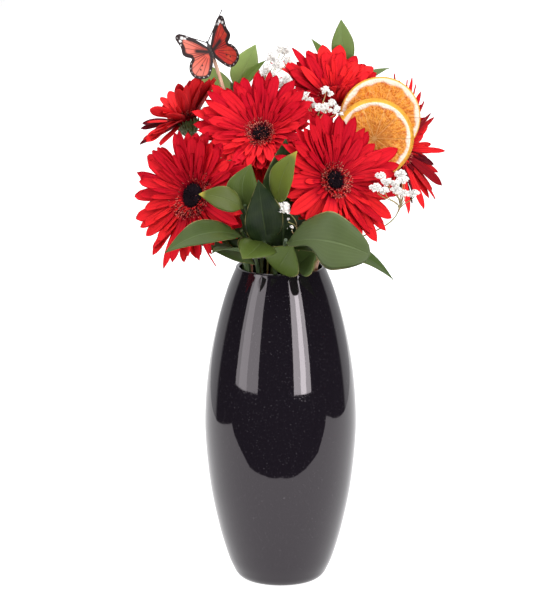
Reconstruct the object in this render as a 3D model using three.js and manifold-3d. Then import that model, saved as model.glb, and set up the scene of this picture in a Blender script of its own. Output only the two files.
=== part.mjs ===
// Gerberas in a vase: six red gerberas, green foliage, gypsophila, two dried orange slices and a
// butterfly on picks, standing in a black barrel-shaped vase.
// Millimetres, +Z up, front of the bouquet towards -Y. Origin: centre of the vase's flat base.
import * as THREE from 'three';
import { ParametricGeometry } from 'three/addons/geometries/ParametricGeometry.js';
import { mergeVertices } from 'three/addons/utils/BufferGeometryUtils.js';
import Module from 'manifold-3d';

const wasm = await Module();
wasm.setup();

// ---------------------------------------------------------------- driving dimensions

const GAP = 0.35;                 // left between pieces that touch

// outer wall of the vase: [radius, height]
const VASE_OUTLINE = [
  [34, 0], [37.5, 3], [40.5, 8], [45.5, 20], [52.7, 45], [59.8, 80], [64, 120],
  [64.2, 150], [60.9, 185], [54.2, 220], [45.7, 250], [37.8, 270],
];
const VASE_HEIGHT = 270;
const VASE_WALL = 3.2;
const VASE_FLOOR = 8;
const VASE_SIDES = 36;

// the cut stems stand in a ring round the free middle of the neck and twist on their way down
const RING_RADIUS = 30.5;
const RING_SHRINK = 0.8;
const RING_TWIST = 50;            // degrees

const GERBERA_STEM = 2.8;         // stem radii
const FOLIAGE_STEM = 1.8;
const GYPSOPHILA_STEM = 1.1;
const PICK = 1.5;

const HUB_EDGE = 0.6;             // flat ring of the petals round the eye
const HEAD_PETALS = 16;
const TIP_OUTLINE = [0.78, 0.95, 1, 0.95];   // reach across one petal, from the notch beside it
const PETAL_THICK = { hub: 3, middle: 2, tip: 1 };
const EYE_HEIGHT = 4;
const CALYX_DEPTH = 13;

const LEAF_THICK = 1.4;
const BLOSSOM = 3.7;              // radius of a gypsophila blossom
const ORANGE = { front: 31, back: 33, thick: 5.5 };
const WING_THICK = 0.6;

// ---------------------------------------------------------------- materials

const colour = (hex, roughness) =>
  new THREE.MeshStandardMaterial({ color: hex, roughness, metalness: 0 });

const materials = {
  glaze: colour(0x1f1c20, 0.12),
  petal: colour(0xc8142a, 0.6),
  eye: colour(0x26141b, 0.85),
  stem: colour(0x5d7a35, 0.55),
  leaf: colour(0x4a6b33, 0.42),
  blossom: colour(0xf3efe9, 0.8),
  orange: colour(0xe8953a, 0.55),
  wing: colour(0xd8462f, 0.4),
  body: colour(0x1c1a1c, 0.7),
  wood: colour(0xd9ad8c, 0.7),
};

// ---------------------------------------------------------------- small helpers

const vec = ([x, y, z]) => new THREE.Vector3(x, y, z);
const up = new THREE.Vector3(0, 0, 1);
const radians = THREE.MathUtils.degToRad;
const bouquet = new THREE.Group();

function add(name, geometry, material) {
  const mesh = new THREE.Mesh(geometry, material);
  mesh.name = name;
  bouquet.add(mesh);
  return mesh;
}

function toSolid(geometry) {
  const bare = geometry.clone();
  bare.deleteAttribute('normal');
  bare.deleteAttribute('uv');
  const merged = mergeVertices(bare, 1e-4);
  return new wasm.Manifold(new wasm.Mesh({
    numProp: 3,
    vertProperties: new Float32Array(merged.attributes.position.array),
    triVerts: new Uint32Array(merged.index.array),
  }));
}

function union(geometries) {
  const solid = geometries.map(toSolid).reduce((whole, piece) => whole.add(piece));
  const mesh = solid.getMesh();
  const geometry = new THREE.BufferGeometry();
  geometry.setAttribute('position', new THREE.BufferAttribute(mesh.vertProperties, 3));
  geometry.setIndex(new THREE.BufferAttribute(mesh.triVerts, 1));
  geometry.computeVertexNormals();
  return geometry;
}

// round rod of any route
function rod(path, radius, sides, steps) {
  const section = new THREE.Shape();
  section.absarc(0, 0, radius, 0, 2 * Math.PI);
  return new THREE.ExtrudeGeometry(section, {
    steps,
    extrudePath: path,
    curveSegments: sides / 2,
  });
}

// closed skin over rows of points; the first and the last row are drawn together into one point
function skin(rows) {
  const around = rows[0].length;
  const last = rows.length - 1;
  const at = (along, round, target) => {
    const row = rows[Math.round(along * last)];
    target.copy(row[Math.round(round * around) % around]);
  };
  return new ParametricGeometry((round, along, target) => at(along, round, target), around, last);
}

// value at an angle in degrees, from eight values given every 45 degrees
function around8(values, angle) {
  const place = (((angle % 360) + 360) % 360) / 45;
  const first = Math.floor(place);
  const blend = (1 - Math.cos(Math.PI * (place - first))) / 2;
  return values[first % 8] * (1 - blend) + values[(first + 1) % 8] * blend;
}

// ---------------------------------------------------------------- vase

function vase() {
  const outer = new THREE.SplineCurve(VASE_OUTLINE.map(([r, z]) => new THREE.Vector2(r, z)));
  const wall = outer.getPoints(13);
  const inside = wall
    .filter((point) => point.y > VASE_FLOOR + 6 && point.y < VASE_HEIGHT - 1)
    .map((point) => new THREE.Vector2(point.x - VASE_WALL, point.y))
    .reverse();
  const rim = wall[wall.length - 1];
  const profile = [
    new THREE.Vector2(0, 0),
    ...wall,
    new THREE.Vector2(rim.x - 0.7, rim.y + 0.7),
    new THREE.Vector2(rim.x - VASE_WALL + 0.7, rim.y + 0.7),
    new THREE.Vector2(rim.x - VASE_WALL, rim.y),
    ...inside,
    new THREE.Vector2(inside[inside.length - 1].x - 5, VASE_FLOOR),
    new THREE.Vector2(0, VASE_FLOOR),
  ];
  const body = add('vase', new THREE.LatheGeometry(profile, VASE_SIDES), materials.glaze);
  body.rotation.x = Math.PI / 2;
}

// ---------------------------------------------------------------- routes of the stems

// from the floor of the vase past the rim at an azimuth, then in a bow to the end point, which it
// reaches along the end direction; all lower parts are one ring, turned and scaled as it descends
function route(azimuth, radius, end, direction) {
  const ringPoint = (height, size, turn) => new THREE.Vector3(
    size * Math.cos(radians(azimuth + turn)),
    size * Math.sin(radians(azimuth + turn)),
    height,
  );
  const foot = ringPoint(VASE_FLOOR + GAP + 0.1 * radius, RING_RADIUS * RING_SHRINK, RING_TWIST);
  const neck = ringPoint(VASE_HEIGHT, RING_RADIUS, 0);
  const rise = neck.clone().sub(foot).normalize();
  const length = neck.distanceTo(end);
  const bow = new THREE.CubicBezierCurve3(
    neck,
    neck.clone().addScaledVector(rise, length * 0.3),
    end.clone().addScaledVector(direction, -length * 0.3),
    end,
  );
  const path = new THREE.CurvePath();
  path.add(new THREE.LineCurve3(foot, neck));
  path.add(bow);
  return { path, bow };
}

// ---------------------------------------------------------------- gerberas

// reach and cup of the petals go round the face from its right, anticlockwise, every 45 degrees:
// reach is the length from the centre, cup the angle out of the face's plane
const gerberas = [
  {
    name: 'gerbera_front_left', azimuth: 206, centre: [-71, -38, 338], facing: [-0.62, -0.7, 0.35],
    reach: [52, 52, 56, 57, 57, 57, 56, 50], cup: [-8, 2, 16, 22, 22, 2, -12, -20], eye: 11.5,
  },
  {
    name: 'gerbera_middle', azimuth: 100, centre: [-16, -20, 386], facing: [-0.11, -0.7, 0.71],
    reach: [46, 53, 57, 58, 56, 45, 40, 40], cup: [24, 24, 24, 22, 20, 14, 6, 12], eye: 9.5,
  },
  {
    name: 'gerbera_front_right', azimuth: 320, centre: [43, -45, 352], facing: [0.56, -0.75, 0.35],
    reach: [61, 61, 60, 58, 48, 48, 53, 60], cup: [10, 12, 14, 8, -10, -18, -14, -2], eye: 9.5,
  },
  {
    name: 'gerbera_back_right', azimuth: 60, centre: [44, 30, 408], facing: [0.05, -0.65, 0.76],
    reach: [33, 46, 50, 50, 54, 44, 28, 15], cup: [26, 26, 26, 24, 12, 20, 26, 30], eye: 9.5,
  },
  {
    name: 'gerbera_far_right', azimuth: 20, centre: [99, 52, 362], facing: [0.84, -0.45, 0.28],
    reach: [54, 56, 58, 46, 38, 42, 54, 56], cup: [14, 16, 14, 14, 10, 10, 6, 8], eye: 9.5,
  },
  {
    name: 'gerbera_far_left', azimuth: 165, centre: [-79, 24, 390], facing: [-0.3, 0.25, 0.92],
    reach: [40, 46, 48, 46, 43, 46, 44, 42], cup: [-16, 40, 48, 48, 48, 45, 22, -8], eye: 9.5,
  },
];

// basis of a flower's face: x its right, y its top, z the way it looks
function faceBasis(facing) {
  const z = vec(facing).normalize();
  const x = up.clone().cross(z).normalize();
  const y = z.clone().cross(x);
  return new THREE.Matrix4().makeBasis(x, y, z);
}

function petalRing({ reach, cup, eye }) {
  const columns = HEAD_PETALS * TIP_OUTLINE.length;
  const hub = eye + HUB_EDGE;
  const rows = [];
  const shares = [0, 0, 0.55, 1];
  const thick = [PETAL_THICK.hub, PETAL_THICK.hub, PETAL_THICK.middle, PETAL_THICK.tip];
  for (const side of [1, -1]) {
    for (const step of side > 0 ? [0, 1, 2, 3] : [3, 2, 1, 0]) {
      const row = [];
      for (let i = 0; i < columns; i += 1) {
        const angle = (360 * i) / columns;
        const share = step === 3 ? TIP_OUTLINE[i % TIP_OUTLINE.length] : 1;
        const long = around8(reach, angle) * share - hub;
        const tilt = radians(around8(cup, angle));
        const out = step === 0 ? 0 : hub + long * shares[step] * Math.cos(tilt);
        const rise = long * shares[step] * Math.sin(tilt) + (side * thick[step]) / 2;
        row.push(new THREE.Vector3(
          out * Math.cos(radians(angle)), out * Math.sin(radians(angle)), rise,
        ));
      }
      rows.push(row);
    }
  }
  return skin(rows.reverse());
}

function eyeDome(radius) {
  const profile = [[0, 0], [radius, 0], [radius * 0.94, EYE_HEIGHT * 0.6],
    [radius * 0.6, EYE_HEIGHT], [0, EYE_HEIGHT * 0.8]];
  const dome = new THREE.LatheGeometry(profile.map(([r, z]) => new THREE.Vector2(r, z)), 14);
  return dome.rotateX(Math.PI / 2);
}

function calyx(eye) {
  const profile = [[0, -CALYX_DEPTH], [GERBERA_STEM + 0.6, -CALYX_DEPTH], [eye * 0.7, -8],
    [eye * 0.93, -3.5], [eye, 0], [0, 0]];
  const cup = new THREE.LatheGeometry(profile.map(([r, z]) => new THREE.Vector2(r, z)), 12);
  return cup.rotateX(Math.PI / 2).translate(0, 0, -PETAL_THICK.hub / 2 - GAP);
}

function gerbera(flower) {
  const centre = vec(flower.centre);
  const facing = vec(flower.facing).normalize();
  const head = faceBasis(flower.facing).setPosition(centre);
  const petals = add(`${flower.name}_petals`, petalRing(flower), materials.petal);
  petals.applyMatrix4(head);
  const eye = add(`${flower.name}_eye`, eyeDome(flower.eye), materials.eye);
  eye.applyMatrix4(head);
  eye.position.addScaledVector(facing, PETAL_THICK.hub / 2 + GAP);
  const end = centre.clone().addScaledVector(facing, -CALYX_DEPTH + 1);
  const { path } = route(flower.azimuth, GERBERA_STEM, end, facing);
  const stem = rod(path, GERBERA_STEM, 8, 20);
  add(`${flower.name}_stem`, union([stem, calyx(flower.eye).applyMatrix4(head)]), materials.stem);
}

// ---------------------------------------------------------------- foliage

// half width along a blade, as [share of its length, share of the half width]
const LEAF_SHAPE = [[0, 0.03], [0.07, 0.06], [0.2, 0.6], [0.38, 1], [0.58, 0.93], [0.78, 0.58],
  [0.93, 0.2], [1, 0.01]];
const ROUND_SHAPE = [[0, 0.02], [0.06, 0.08], [0.2, 0.62], [0.4, 0.96], [0.6, 1], [0.8, 0.84],
  [0.94, 0.46], [1, 0.02]];

// at: share of the way from the rim to the stem's end; face: the way the upper side looks;
// bend: how far the midrib bows towards the face; fold: angle of each half out of the flat
const leaf = (name, at, tip, width, face, bend, fold, shape = LEAF_SHAPE) => ({
  name, at, tip, width, face, bend, fold, shape,
});

const foliage = [
  {
    name: 'front_right', azimuth: 292, end: [4, -72, 308], direction: [0.2, -0.8, 0.5],
    leaves: [
      leaf('broad', 0.9, [75, -98, 308], 50, [-0.1, -0.9, 0.42], 9, 7, ROUND_SHAPE),
      leaf('tail', 0.65, [90, -42, 271], 20, [0.3, -0.5, 0.8], 8, 14),
      leaf('mouth', 0.12, [37, -49, 285], 19, [0.1, -0.85, 0.5], 3, 10),
    ],
  },
  {
    name: 'front_left', azimuth: 232, end: [-32, -68, 315], direction: [-0.3, -0.6, 0.7],
    leaves: [
      leaf('long', 0.9, [-93, -100, 301], 27, [0, -0.7, 0.7], 9, 20),
      leaf('narrow', 0.35, [-56, -72, 297], 13, [-0.3, -0.3, 0.9], 4, 20),
      leaf('under', 0.15, [-84, -30, 303], 26, [-0.3, -0.5, 0.8], 5, 14),
    ],
  },
  {
    name: 'front_middle', azimuth: 262, end: [-29, -78, 338], direction: [-0.2, -0.3, 0.9],
    leaves: [
      leaf('over_eye', 0.97, [-66, -84, 348], 22, [0, -0.95, 0.35], 3, 8),
      leaf('upright', 0.92, [-24, -70, 370], 22, [0, -0.95, 0.2], 3, 10),
      leaf('dark', 0.42, [-15, -92, 359], 31, [0.15, -0.9, 0.2], 5, 14),
      leaf('low', 0.5, [-31, -90, 299], 17, [0, -0.7, 0.7], 3, 10),
      leaf('wide', 0.25, [-40, -32, 338], 31, [0.2, -0.9, 0.2], 2, 10),
      leaf('collar', 0.05, [13, -68, 291], 23, [0.1, -0.85, 0.4], 3, 8),
    ],
  },
  {
    name: 'middle_right', azimuth: 274, end: [-4, -64, 340], direction: [0.1, -0.2, 0.9],
    leaves: [
      leaf('yellow_tip', 0.95, [13, -84, 383], 21, [-0.5, -0.85, 0.1], 4, 12),
      leaf('shaded', 0.5, [4, -54, 388], 30, [0, -0.95, 0.2], 3, 8),
      leaf('deep', 0.36, [0, -67, 341], 22, [0.1, -0.9, 0.2], 3, 8),
    ],
  },
  {
    name: 'back_left', azimuth: 122, end: [-41, 38, 420], direction: [0, 0.1, 1],
    leaves: [
      leaf('pale', 0.97, [-21, 42, 452], 19, [0.1, -0.95, 0.3], 3, 6),
      leaf('arched', 0.9, [-12, 26, 441], 14, [-0.2, -0.6, 0.8], 4, 14),
      leaf('side', 0.8, [-70, 82, 432], 18, [0, -0.3, 0.95], 5, 12),
      leaf('outer', 0.45, [-69, 78, 350], 28, [-0.3, 0.5, 0.8], 7, 12),
      leaf('low', 0.15, [-44, 72, 300], 26, [-0.2, 0.6, 0.7], 6, 12),
    ],
  },
  {
    name: 'back_right', azimuth: 42, end: [55, 66, 430], direction: [0, 0.1, 1],
    leaves: [
      leaf('tall', 0.98, [51, 60, 471], 20, [0, -0.98, 0.2], 3, 8),
      leaf('spike', 0.9, [26, 72, 453], 12, [0.3, -0.8, 0.5], 3, 14),
      leaf('edge', 0.85, [93, 78, 427], 16, [-0.1, -0.3, 0.95], 4, 14),
      leaf('outer', 0.35, [46, 100, 342], 28, [0.1, 0.6, 0.75], 7, 12),
    ],
  },
];

function leafSkin(base, blade) {
  const tip = vec(blade.tip);
  const axis = tip.clone().sub(base).normalize();
  const side = axis.clone().cross(vec(blade.face)).normalize();
  const face = side.clone().cross(axis);
  const rib = new THREE.QuadraticBezierCurve3(
    base, base.clone().add(tip).multiplyScalar(0.5).addScaledVector(face, 2 * blade.bend), tip,
  );
  const rows = blade.shape.map(([along, broad]) => {
    const middle = rib.getPoint(along);
    const half = (blade.width * broad) / 2;
    const flat = half * Math.cos(radians(blade.fold));
    const lift = half * Math.sin(radians(blade.fold));
    const thick = (LEAF_THICK / 2) * Math.min(1, 0.25 + broad);
    return [
      middle.clone().addScaledVector(side, -flat).addScaledVector(face, lift),
      middle.clone().addScaledVector(face, thick),
      middle.clone().addScaledVector(side, flat).addScaledVector(face, lift),
      middle.clone().addScaledVector(face, -thick),
    ];
  });
  return skin([rows[0].map(() => base), ...rows, rows[0].map(() => tip)]);
}

function sprig(plant) {
  const { path, bow } = route(plant.azimuth, FOLIAGE_STEM, vec(plant.end),
    vec(plant.direction).normalize());
  add(`foliage_${plant.name}_stem`, rod(path, FOLIAGE_STEM, 6, 18), materials.stem);
  for (const blade of plant.leaves) {
    const node = bow.getPoint(blade.at);
    const along = bow.getTangent(blade.at);
    const outward = vec(blade.tip).sub(node);
    outward.addScaledVector(along, -outward.dot(along)).normalize();
    const base = node.clone().addScaledVector(outward, FOLIAGE_STEM + 2 * GAP);
    add(`leaf_${plant.name}_${blade.name}`, leafSkin(base, blade), materials.leaf);
  }
}

// ---------------------------------------------------------------- gypsophila

const gypsophila = [
  {
    name: 'top', azimuth: 111, end: [-16, 7, 412], direction: [0, 0, 1],
    blossoms: [[0, 16, 453], [4, 20, 452], [-8, 12, 447], [-3, 10, 441], [6, 14, 445],
      [-12, 10, 437], [-16, 10, 432], [-6, 8, 432], [-1, 6, 426], [5, 8, 428], [9, 4, 421]],
  },
  {
    name: 'middle', azimuth: 2, end: [28, -20, 388], direction: [0, -0.1, 1],
    blossoms: [[20, -5, 416], [24, -9, 412], [37, -18, 423], [42, -16, 412], [32, -22, 409],
      [37, -24, 410], [46, -22, 407], [34, -26, 397]],
  },
  {
    name: 'right', azimuth: 333, end: [97, -24, 322], direction: [0.3, -0.2, 0.95],
    blossoms: [[83, -44, 356], [88, -48, 352], [85, -54, 346], [78, -54, 348], [95, -46, 350],
      [101, -40, 352], [99, -36, 356], [95, -48, 345], [102, -42, 341], [110, -36, 340]],
  },
  {
    name: 'low', azimuth: 304, end: [13, -57, 316], direction: [0, -0.2, 0.9],
    blossoms: [[5, -71, 332], [9, -68, 318], [6, -65, 324]],
  },
];

// where a branch leaves the stem: as high as it can and still climb steeply to its blossom
function forkFor(bow, blossom) {
  for (let share = 1; share > 0.5; share -= 0.05) {
    const fork = bow.getPoint(share);
    const aside = Math.hypot(blossom.x - fork.x, blossom.y - fork.y);
    if (blossom.z - fork.z > 0.8 * aside) {
      return fork;
    }
  }
  return bow.getPoint(0.5);
}

function spray(plant) {
  const { path, bow } = route(plant.azimuth, GYPSOPHILA_STEM, vec(plant.end),
    vec(plant.direction).normalize());
  const pieces = [rod(path, GYPSOPHILA_STEM, 6, 14)];
  for (const point of plant.blossoms) {
    const blossom = vec(point);
    pieces.push(rod(new THREE.LineCurve3(forkFor(bow, blossom), blossom), 0.5, 4, 1));
    pieces.push(new THREE.IcosahedronGeometry(BLOSSOM, 0).translate(...point));
  }
  add(`gypsophila_${plant.name}`, union(pieces), materials.blossom);
}

// ---------------------------------------------------------------- dried orange slices

// at: the place on the pick between the slices; the offsets are to the face's right and top
const oranges = {
  azimuth: 346, at: [80, 2, 385], facing: [0.1, -0.99, 0.06], tail: 52, top: 26,
  back: [4, 9], front: [-2, -8],
};

function orangeSlice(name, offset, behind) {
  const half = ORANGE.thick / 2;
  const profile = [[0, -half], [ORANGE.back, -half], [ORANGE.front, half], [0, half]];
  const slice = new THREE.LatheGeometry(profile.map(([r, z]) => new THREE.Vector2(r, z)), 30);
  const shift = behind * (PICK + GAP + half);
  slice.rotateX(Math.PI / 2).translate(offset[0], offset[1], -shift);
  const place = faceBasis(oranges.facing).setPosition(vec(oranges.at));
  add(name, slice, materials.orange).applyMatrix4(place);
}

function orangePick() {
  const rise = new THREE.Vector3().setFromMatrixColumn(faceBasis(oranges.facing), 1);
  const end = vec(oranges.at).addScaledVector(rise, oranges.top);
  const start = vec(oranges.at).addScaledVector(rise, -oranges.tail);
  const { path } = route(oranges.azimuth, PICK, start, rise);
  path.add(new THREE.LineCurve3(start, end));
  add('orange_pick', rod(path, PICK, 6, 16), materials.wood);
}

// ---------------------------------------------------------------- butterfly

// span: [out from the body, forward] points round one wing pair, from its root in front
const butterfly = {
  azimuth: 145, centre: [-58, 12, 451], facing: [0, -0.974, 0.225], lean: 23.5,
  bodyLength: 17, bodyRadius: 1.5, raise: { left: 20, right: 28 },
  span: [[2, 2], [5, 8], [11, 15], [18, 20.5], [23, 22], [26, 19], [24.5, 11], [25.5, 5],
    [23.5, 2], [19, -1], [22.5, -4], [25.5, -10], [24, -16], [18, -19.5], [11, -20], [5, -14],
    [2, -5]],
  antennae: [[21, 24], [-19, 16]],
};

function butterflyBasis() {
  return faceBasis(butterfly.facing)
    .multiply(new THREE.Matrix4().makeRotationZ(radians(butterfly.lean)))
    .setPosition(vec(butterfly.centre));
}

function butterflyWing(name, side) {
  const outline = new THREE.Shape();
  const points = butterfly.span.map(([out, forward]) => new THREE.Vector2(out, forward));
  outline.setFromPoints(new THREE.SplineCurve([...points, points[0]]).getPoints(32).slice(0, -1));
  const wing = new THREE.ExtrudeGeometry(outline, { depth: WING_THICK, bevelEnabled: false });
  wing.translate(0, 0, -WING_THICK / 2).rotateY(radians(-butterfly.raise[name]));
  if (side < 0) {
    wing.rotateY(radians(2 * butterfly.raise[name])).rotateY(Math.PI);
  }
  add(`butterfly_${name}_wing`, wing, materials.wing).applyMatrix4(butterflyBasis());
}

function butterflyBody() {
  const half = butterfly.bodyLength / 2;
  const r = butterfly.bodyRadius;
  const profile = [[0, -half], [r * 0.6, -half * 0.7], [r, half * 0.1], [r * 0.9, half * 0.7],
    [r * 0.5, half], [0, half]];
  const body = new THREE.LatheGeometry(profile.map(([x, y]) => new THREE.Vector2(x, y)), 8);
  const head = new THREE.Vector3(0, half * 0.8, 0);
  const feelers = butterfly.antennae.map(([x, y]) => (
    rod(new THREE.LineCurve3(head, new THREE.Vector3(x, y, 0).add(head)), 0.35, 4, 1)
  ));
  add('butterfly_body', union([body, ...feelers]), materials.body).applyMatrix4(butterflyBasis());
}

function butterflyPick() {
  const { centre, facing, bodyRadius, azimuth } = butterfly;
  const behind = -(bodyRadius + PICK + GAP);
  const end = vec(centre).addScaledVector(vec(facing), behind);
  const { path } = route(azimuth, PICK, end, new THREE.Vector3(-0.34, 0.05, 0.93).normalize());
  add('butterfly_pick', rod(path, PICK, 6, 14), materials.wood);
}

// ---------------------------------------------------------------- assembly

vase();
gerberas.forEach(gerbera);
foliage.forEach(sprig);
gypsophila.forEach(spray);
orangeSlice('orange_slice_back', oranges.back, 1);
orangeSlice('orange_slice_front', oranges.front, -1);
orangePick();
butterflyBody();
butterflyWing('left', -1);
butterflyWing('right', 1);
butterflyPick();

export default bouquet;
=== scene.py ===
# Gerberas in a vase: six red gerberas with glossy leaves, gypsophila, two dried orange slices and a
# butterfly on a pick, in a black barrel-shaped vase. Tables are in millimetres, meshes in metres.
# +Z is up, the front of the bouquet looks towards -Y, the origin is the centre of the vase's base.
import math

import bmesh
import bpy
import numpy as np
from mathutils import Matrix, Vector


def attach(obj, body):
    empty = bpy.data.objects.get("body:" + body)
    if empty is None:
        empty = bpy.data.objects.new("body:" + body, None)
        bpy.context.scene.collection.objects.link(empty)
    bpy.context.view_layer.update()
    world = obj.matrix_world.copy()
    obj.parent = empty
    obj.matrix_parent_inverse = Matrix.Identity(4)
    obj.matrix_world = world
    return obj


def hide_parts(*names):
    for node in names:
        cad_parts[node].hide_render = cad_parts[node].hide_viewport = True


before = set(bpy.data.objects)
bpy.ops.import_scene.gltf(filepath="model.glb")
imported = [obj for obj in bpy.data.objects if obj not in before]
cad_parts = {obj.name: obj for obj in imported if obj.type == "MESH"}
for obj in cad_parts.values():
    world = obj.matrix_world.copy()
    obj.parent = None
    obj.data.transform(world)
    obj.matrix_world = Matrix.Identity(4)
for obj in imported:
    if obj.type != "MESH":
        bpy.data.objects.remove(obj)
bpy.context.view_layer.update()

# ---------------------------------------------------------------- table, light and camera
# A glossless white table top with a rounded front edge, and a tall softbox on each side of the
# bouquet's front in a dark room, each with a brighter lamp in it. The camera stands 2.3 m away
# and looks down by 13 degrees.


def plug(socket, value):
    """Gives a node's socket a link or a fixed value."""
    if isinstance(value, Value):
        value = value.socket
    if isinstance(value, bpy.types.NodeSocket):
        socket.id_data.links.new(value, socket)
    else:
        socket.default_value = value


class Value:
    """A number that changes over a surface: a node's socket that takes part in arithmetic."""

    def __init__(self, socket):
        self.socket = socket

    def math(self, operation, *others):
        node = self.socket.id_data.nodes.new("ShaderNodeMath")
        node.operation = operation
        for slot, operand in zip(node.inputs, others):
            plug(slot, operand)
        return Value(node.outputs[0])

    def __add__(self, other):
        return self.math("ADD", self, other)

    def __sub__(self, other):
        return self.math("SUBTRACT", self, other)

    def __rsub__(self, other):
        return self.math("SUBTRACT", other, self)

    def __mul__(self, other):
        return self.math("MULTIPLY", self, other)

    def __truediv__(self, other):
        return self.math("DIVIDE", self, other)

    __radd__ = __add__
    __rmul__ = __mul__

    def sin(self):
        return self.math("SINE", self)

    def cos(self):
        return self.math("COSINE", self)

    def size(self):
        return self.math("ABSOLUTE", self)

    def step(self, low, high):
        """0 below low, 1 above high and smooth between, or the reverse where low > high."""
        node = self.socket.id_data.nodes.new("ShaderNodeMapRange")
        node.interpolation_type = "SMOOTHSTEP"
        ends = (0.0, 1.0) if low <= high else (1.0, 0.0)
        for slot, value in zip(node.inputs, (self, *sorted((low, high)), *ends)):
            plug(slot, value)
        return Value(node.outputs[0])


class Tree:
    """A node tree that is being built."""

    def __init__(self, tree):
        self.tree = tree

    def node(self, kind, inputs=None, **settings):
        node = self.tree.nodes.new(kind)
        for name, setting in settings.items():
            setattr(node, name, setting)
        for name, value in (inputs or {}).items():
            plug(node.inputs[name], value)
        return node

    def value(self, kind, inputs=None, output=0, **settings):
        return Value(self.node(kind, inputs, **settings).outputs[output])

    def mix(self, factor, first, second):
        """A colour between two colours."""
        node = self.node("ShaderNodeMix", data_type="RGBA")
        for place, value in ((0, factor), (6, first), (7, second)):
            plug(node.inputs[place], (*value, 1.0) if isinstance(value, tuple) else value)
        return node.outputs[2]

    def attributes(self, *names):
        """What the points of the painted piece carry under those names."""
        return [self.value("ShaderNodeAttribute", output="Fac", attribute_name=name)
                for name in names]

    def carried(self, name, kind="FLOAT"):
        """What the points in a Geometry Nodes tree carry under that name."""
        return self.value("GeometryNodeInputNamedAttribute", {"Name": name}, data_type=kind)

    def place(self):
        return self.node("ShaderNodeTexCoord").outputs["Object"]

    def noise(self, scale, detail, vector=None):
        return self.value("ShaderNodeTexNoise", {
            "Vector": vector or self.place(), "Scale": scale, "Detail": detail})

    def grain(self, scale, detail):
        """Noise drawn out along the height."""
        drawn = self.node("ShaderNodeMapping", {"Vector": self.place(), "Scale": scale})
        return self.noise(1.0, detail, drawn.outputs[0])

    def bump(self, height, distance, strength):
        return self.node("ShaderNodeBump", {
            "Height": height, "Distance": distance, "Strength": strength}).outputs[0]

    def translucent(self, colour):
        return self.node("ShaderNodeBsdfTranslucent", {"Color": (*colour, 1)})

    def surface(self, looks, share=0.0, second=None):
        """Sets the main shader's sockets and mixes a share of a second shader into it."""
        shader = self.tree.nodes["Principled BSDF"]
        for name, value in looks.items():
            plug(shader.inputs[name], value)
        if second:
            both = self.node("ShaderNodeMixShader", {
                0: share, 1: shader.outputs[0], 2: second.outputs[0]})
            plug(self.tree.nodes["Material Output"].inputs["Surface"], both.outputs[0])


def finish_of(name):
    """A new material and its tree."""
    material = bpy.data.materials.new(name)
    material.use_nodes = True
    return material, Tree(material.node_tree)


def stand(name, data):
    """Puts new data into the scene as an object."""
    made = bpy.data.objects.new(name, data)
    bpy.context.scene.collection.objects.link(made)
    return made


MM = 0.001


def shape(name, points, faces, material=None, smooth=True):
    """An object of its own from points in millimetres and faces."""
    mesh = bpy.data.meshes.new(name)
    mesh.from_pydata((np.asarray(points, float) * MM).tolist(), [], faces)
    mesh.validate()
    if smooth:
        mesh.shade_smooth()
    if material:
        mesh.materials.append(material)
    return stand(name, mesh)


scene = bpy.context.scene
scene.view_settings.view_transform = "Standard"
scene.view_settings.look = "None"

table_paint, tree = finish_of("table_white")
tree.surface({"Base Color": (0.8, 0.8, 0.8, 1), "Roughness": 0.9, "Specular IOR Level": 0.0}, 0.5,
             tree.node("ShaderNodeEmission", {"Color": (1, 1, 1, 1), "Strength": 1.84}))
TABLE_OUTLINE = [(757, 4500), (-640, 4500), (-640, 200), (-725, -190), (-357, -205), (-207, -215),
                 (-100, -248), (0, -262), (100, -250), (311, -221), (914, -330), (800, -45),
                 (757, 207)]
TABLE_LEVEL = -0.2
corners = [(x, y, TABLE_LEVEL) for x, y in TABLE_OUTLINE]
shape("table_top", corners, [tuple(range(len(corners)))], table_paint, smooth=False)

world = bpy.data.worlds.new("studio")
world.use_nodes = True
scene.world = world
tree = Tree(world.node_tree)
direction = tree.node("ShaderNodeSeparateXYZ", {
    0: tree.node("ShaderNodeTexCoord").outputs["Generated"]})
towards_front = (Value(direction.outputs["Y"]) * -1).step(-0.47, -0.36)
room = tree.mix(towards_front, (0.9, 0.9, 0.92), (0.05, 0.045, 0.055))
room = tree.mix(Value(direction.outputs["Z"]).step(0.62, 0.85), room, (3.1, 3.1, 3.15))
seen = tree.node("ShaderNodeLightPath").outputs["Is Camera Ray"]
plug(world.node_tree.nodes["Background"].inputs["Color"], tree.mix(seen, room, (1.0, 1.0, 1.0)))

SOFTBOX_FOOT = 0.115


def softbox(name, azimuth, distance, top, width, power):
    """A tall soft light that stands at an azimuth from the front and looks at the bouquet."""
    lamp = bpy.data.lights.new(name, "AREA")
    lamp.shape, lamp.energy = "RECTANGLE", power
    lamp.size, lamp.size_y = width, top - SOFTBOX_FOOT
    angle = math.radians(azimuth)
    place = Vector((distance * math.sin(angle), -distance * math.cos(angle),
                    (SOFTBOX_FOOT + top) / 2))
    made = stand(name, lamp)
    made.location = place
    made.rotation_euler = Vector((-place.x, -place.y, 0)).to_track_quat("-Z", "Y").to_euler()
    made.visible_camera = False


softbox("softbox_left", azimuth=-54, distance=1.3, top=1.4, width=0.9, power=12.5)
softbox("softbox_right", azimuth=33.5, distance=1.4, top=1.4, width=0.67, power=19)
softbox("lamp_in_softbox_right", azimuth=35, distance=1.36, top=1.4, width=0.2, power=5.5)
softbox("lamp_in_softbox_left", azimuth=-60, distance=1.26, top=0.9, width=0.3, power=1.2)

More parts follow.
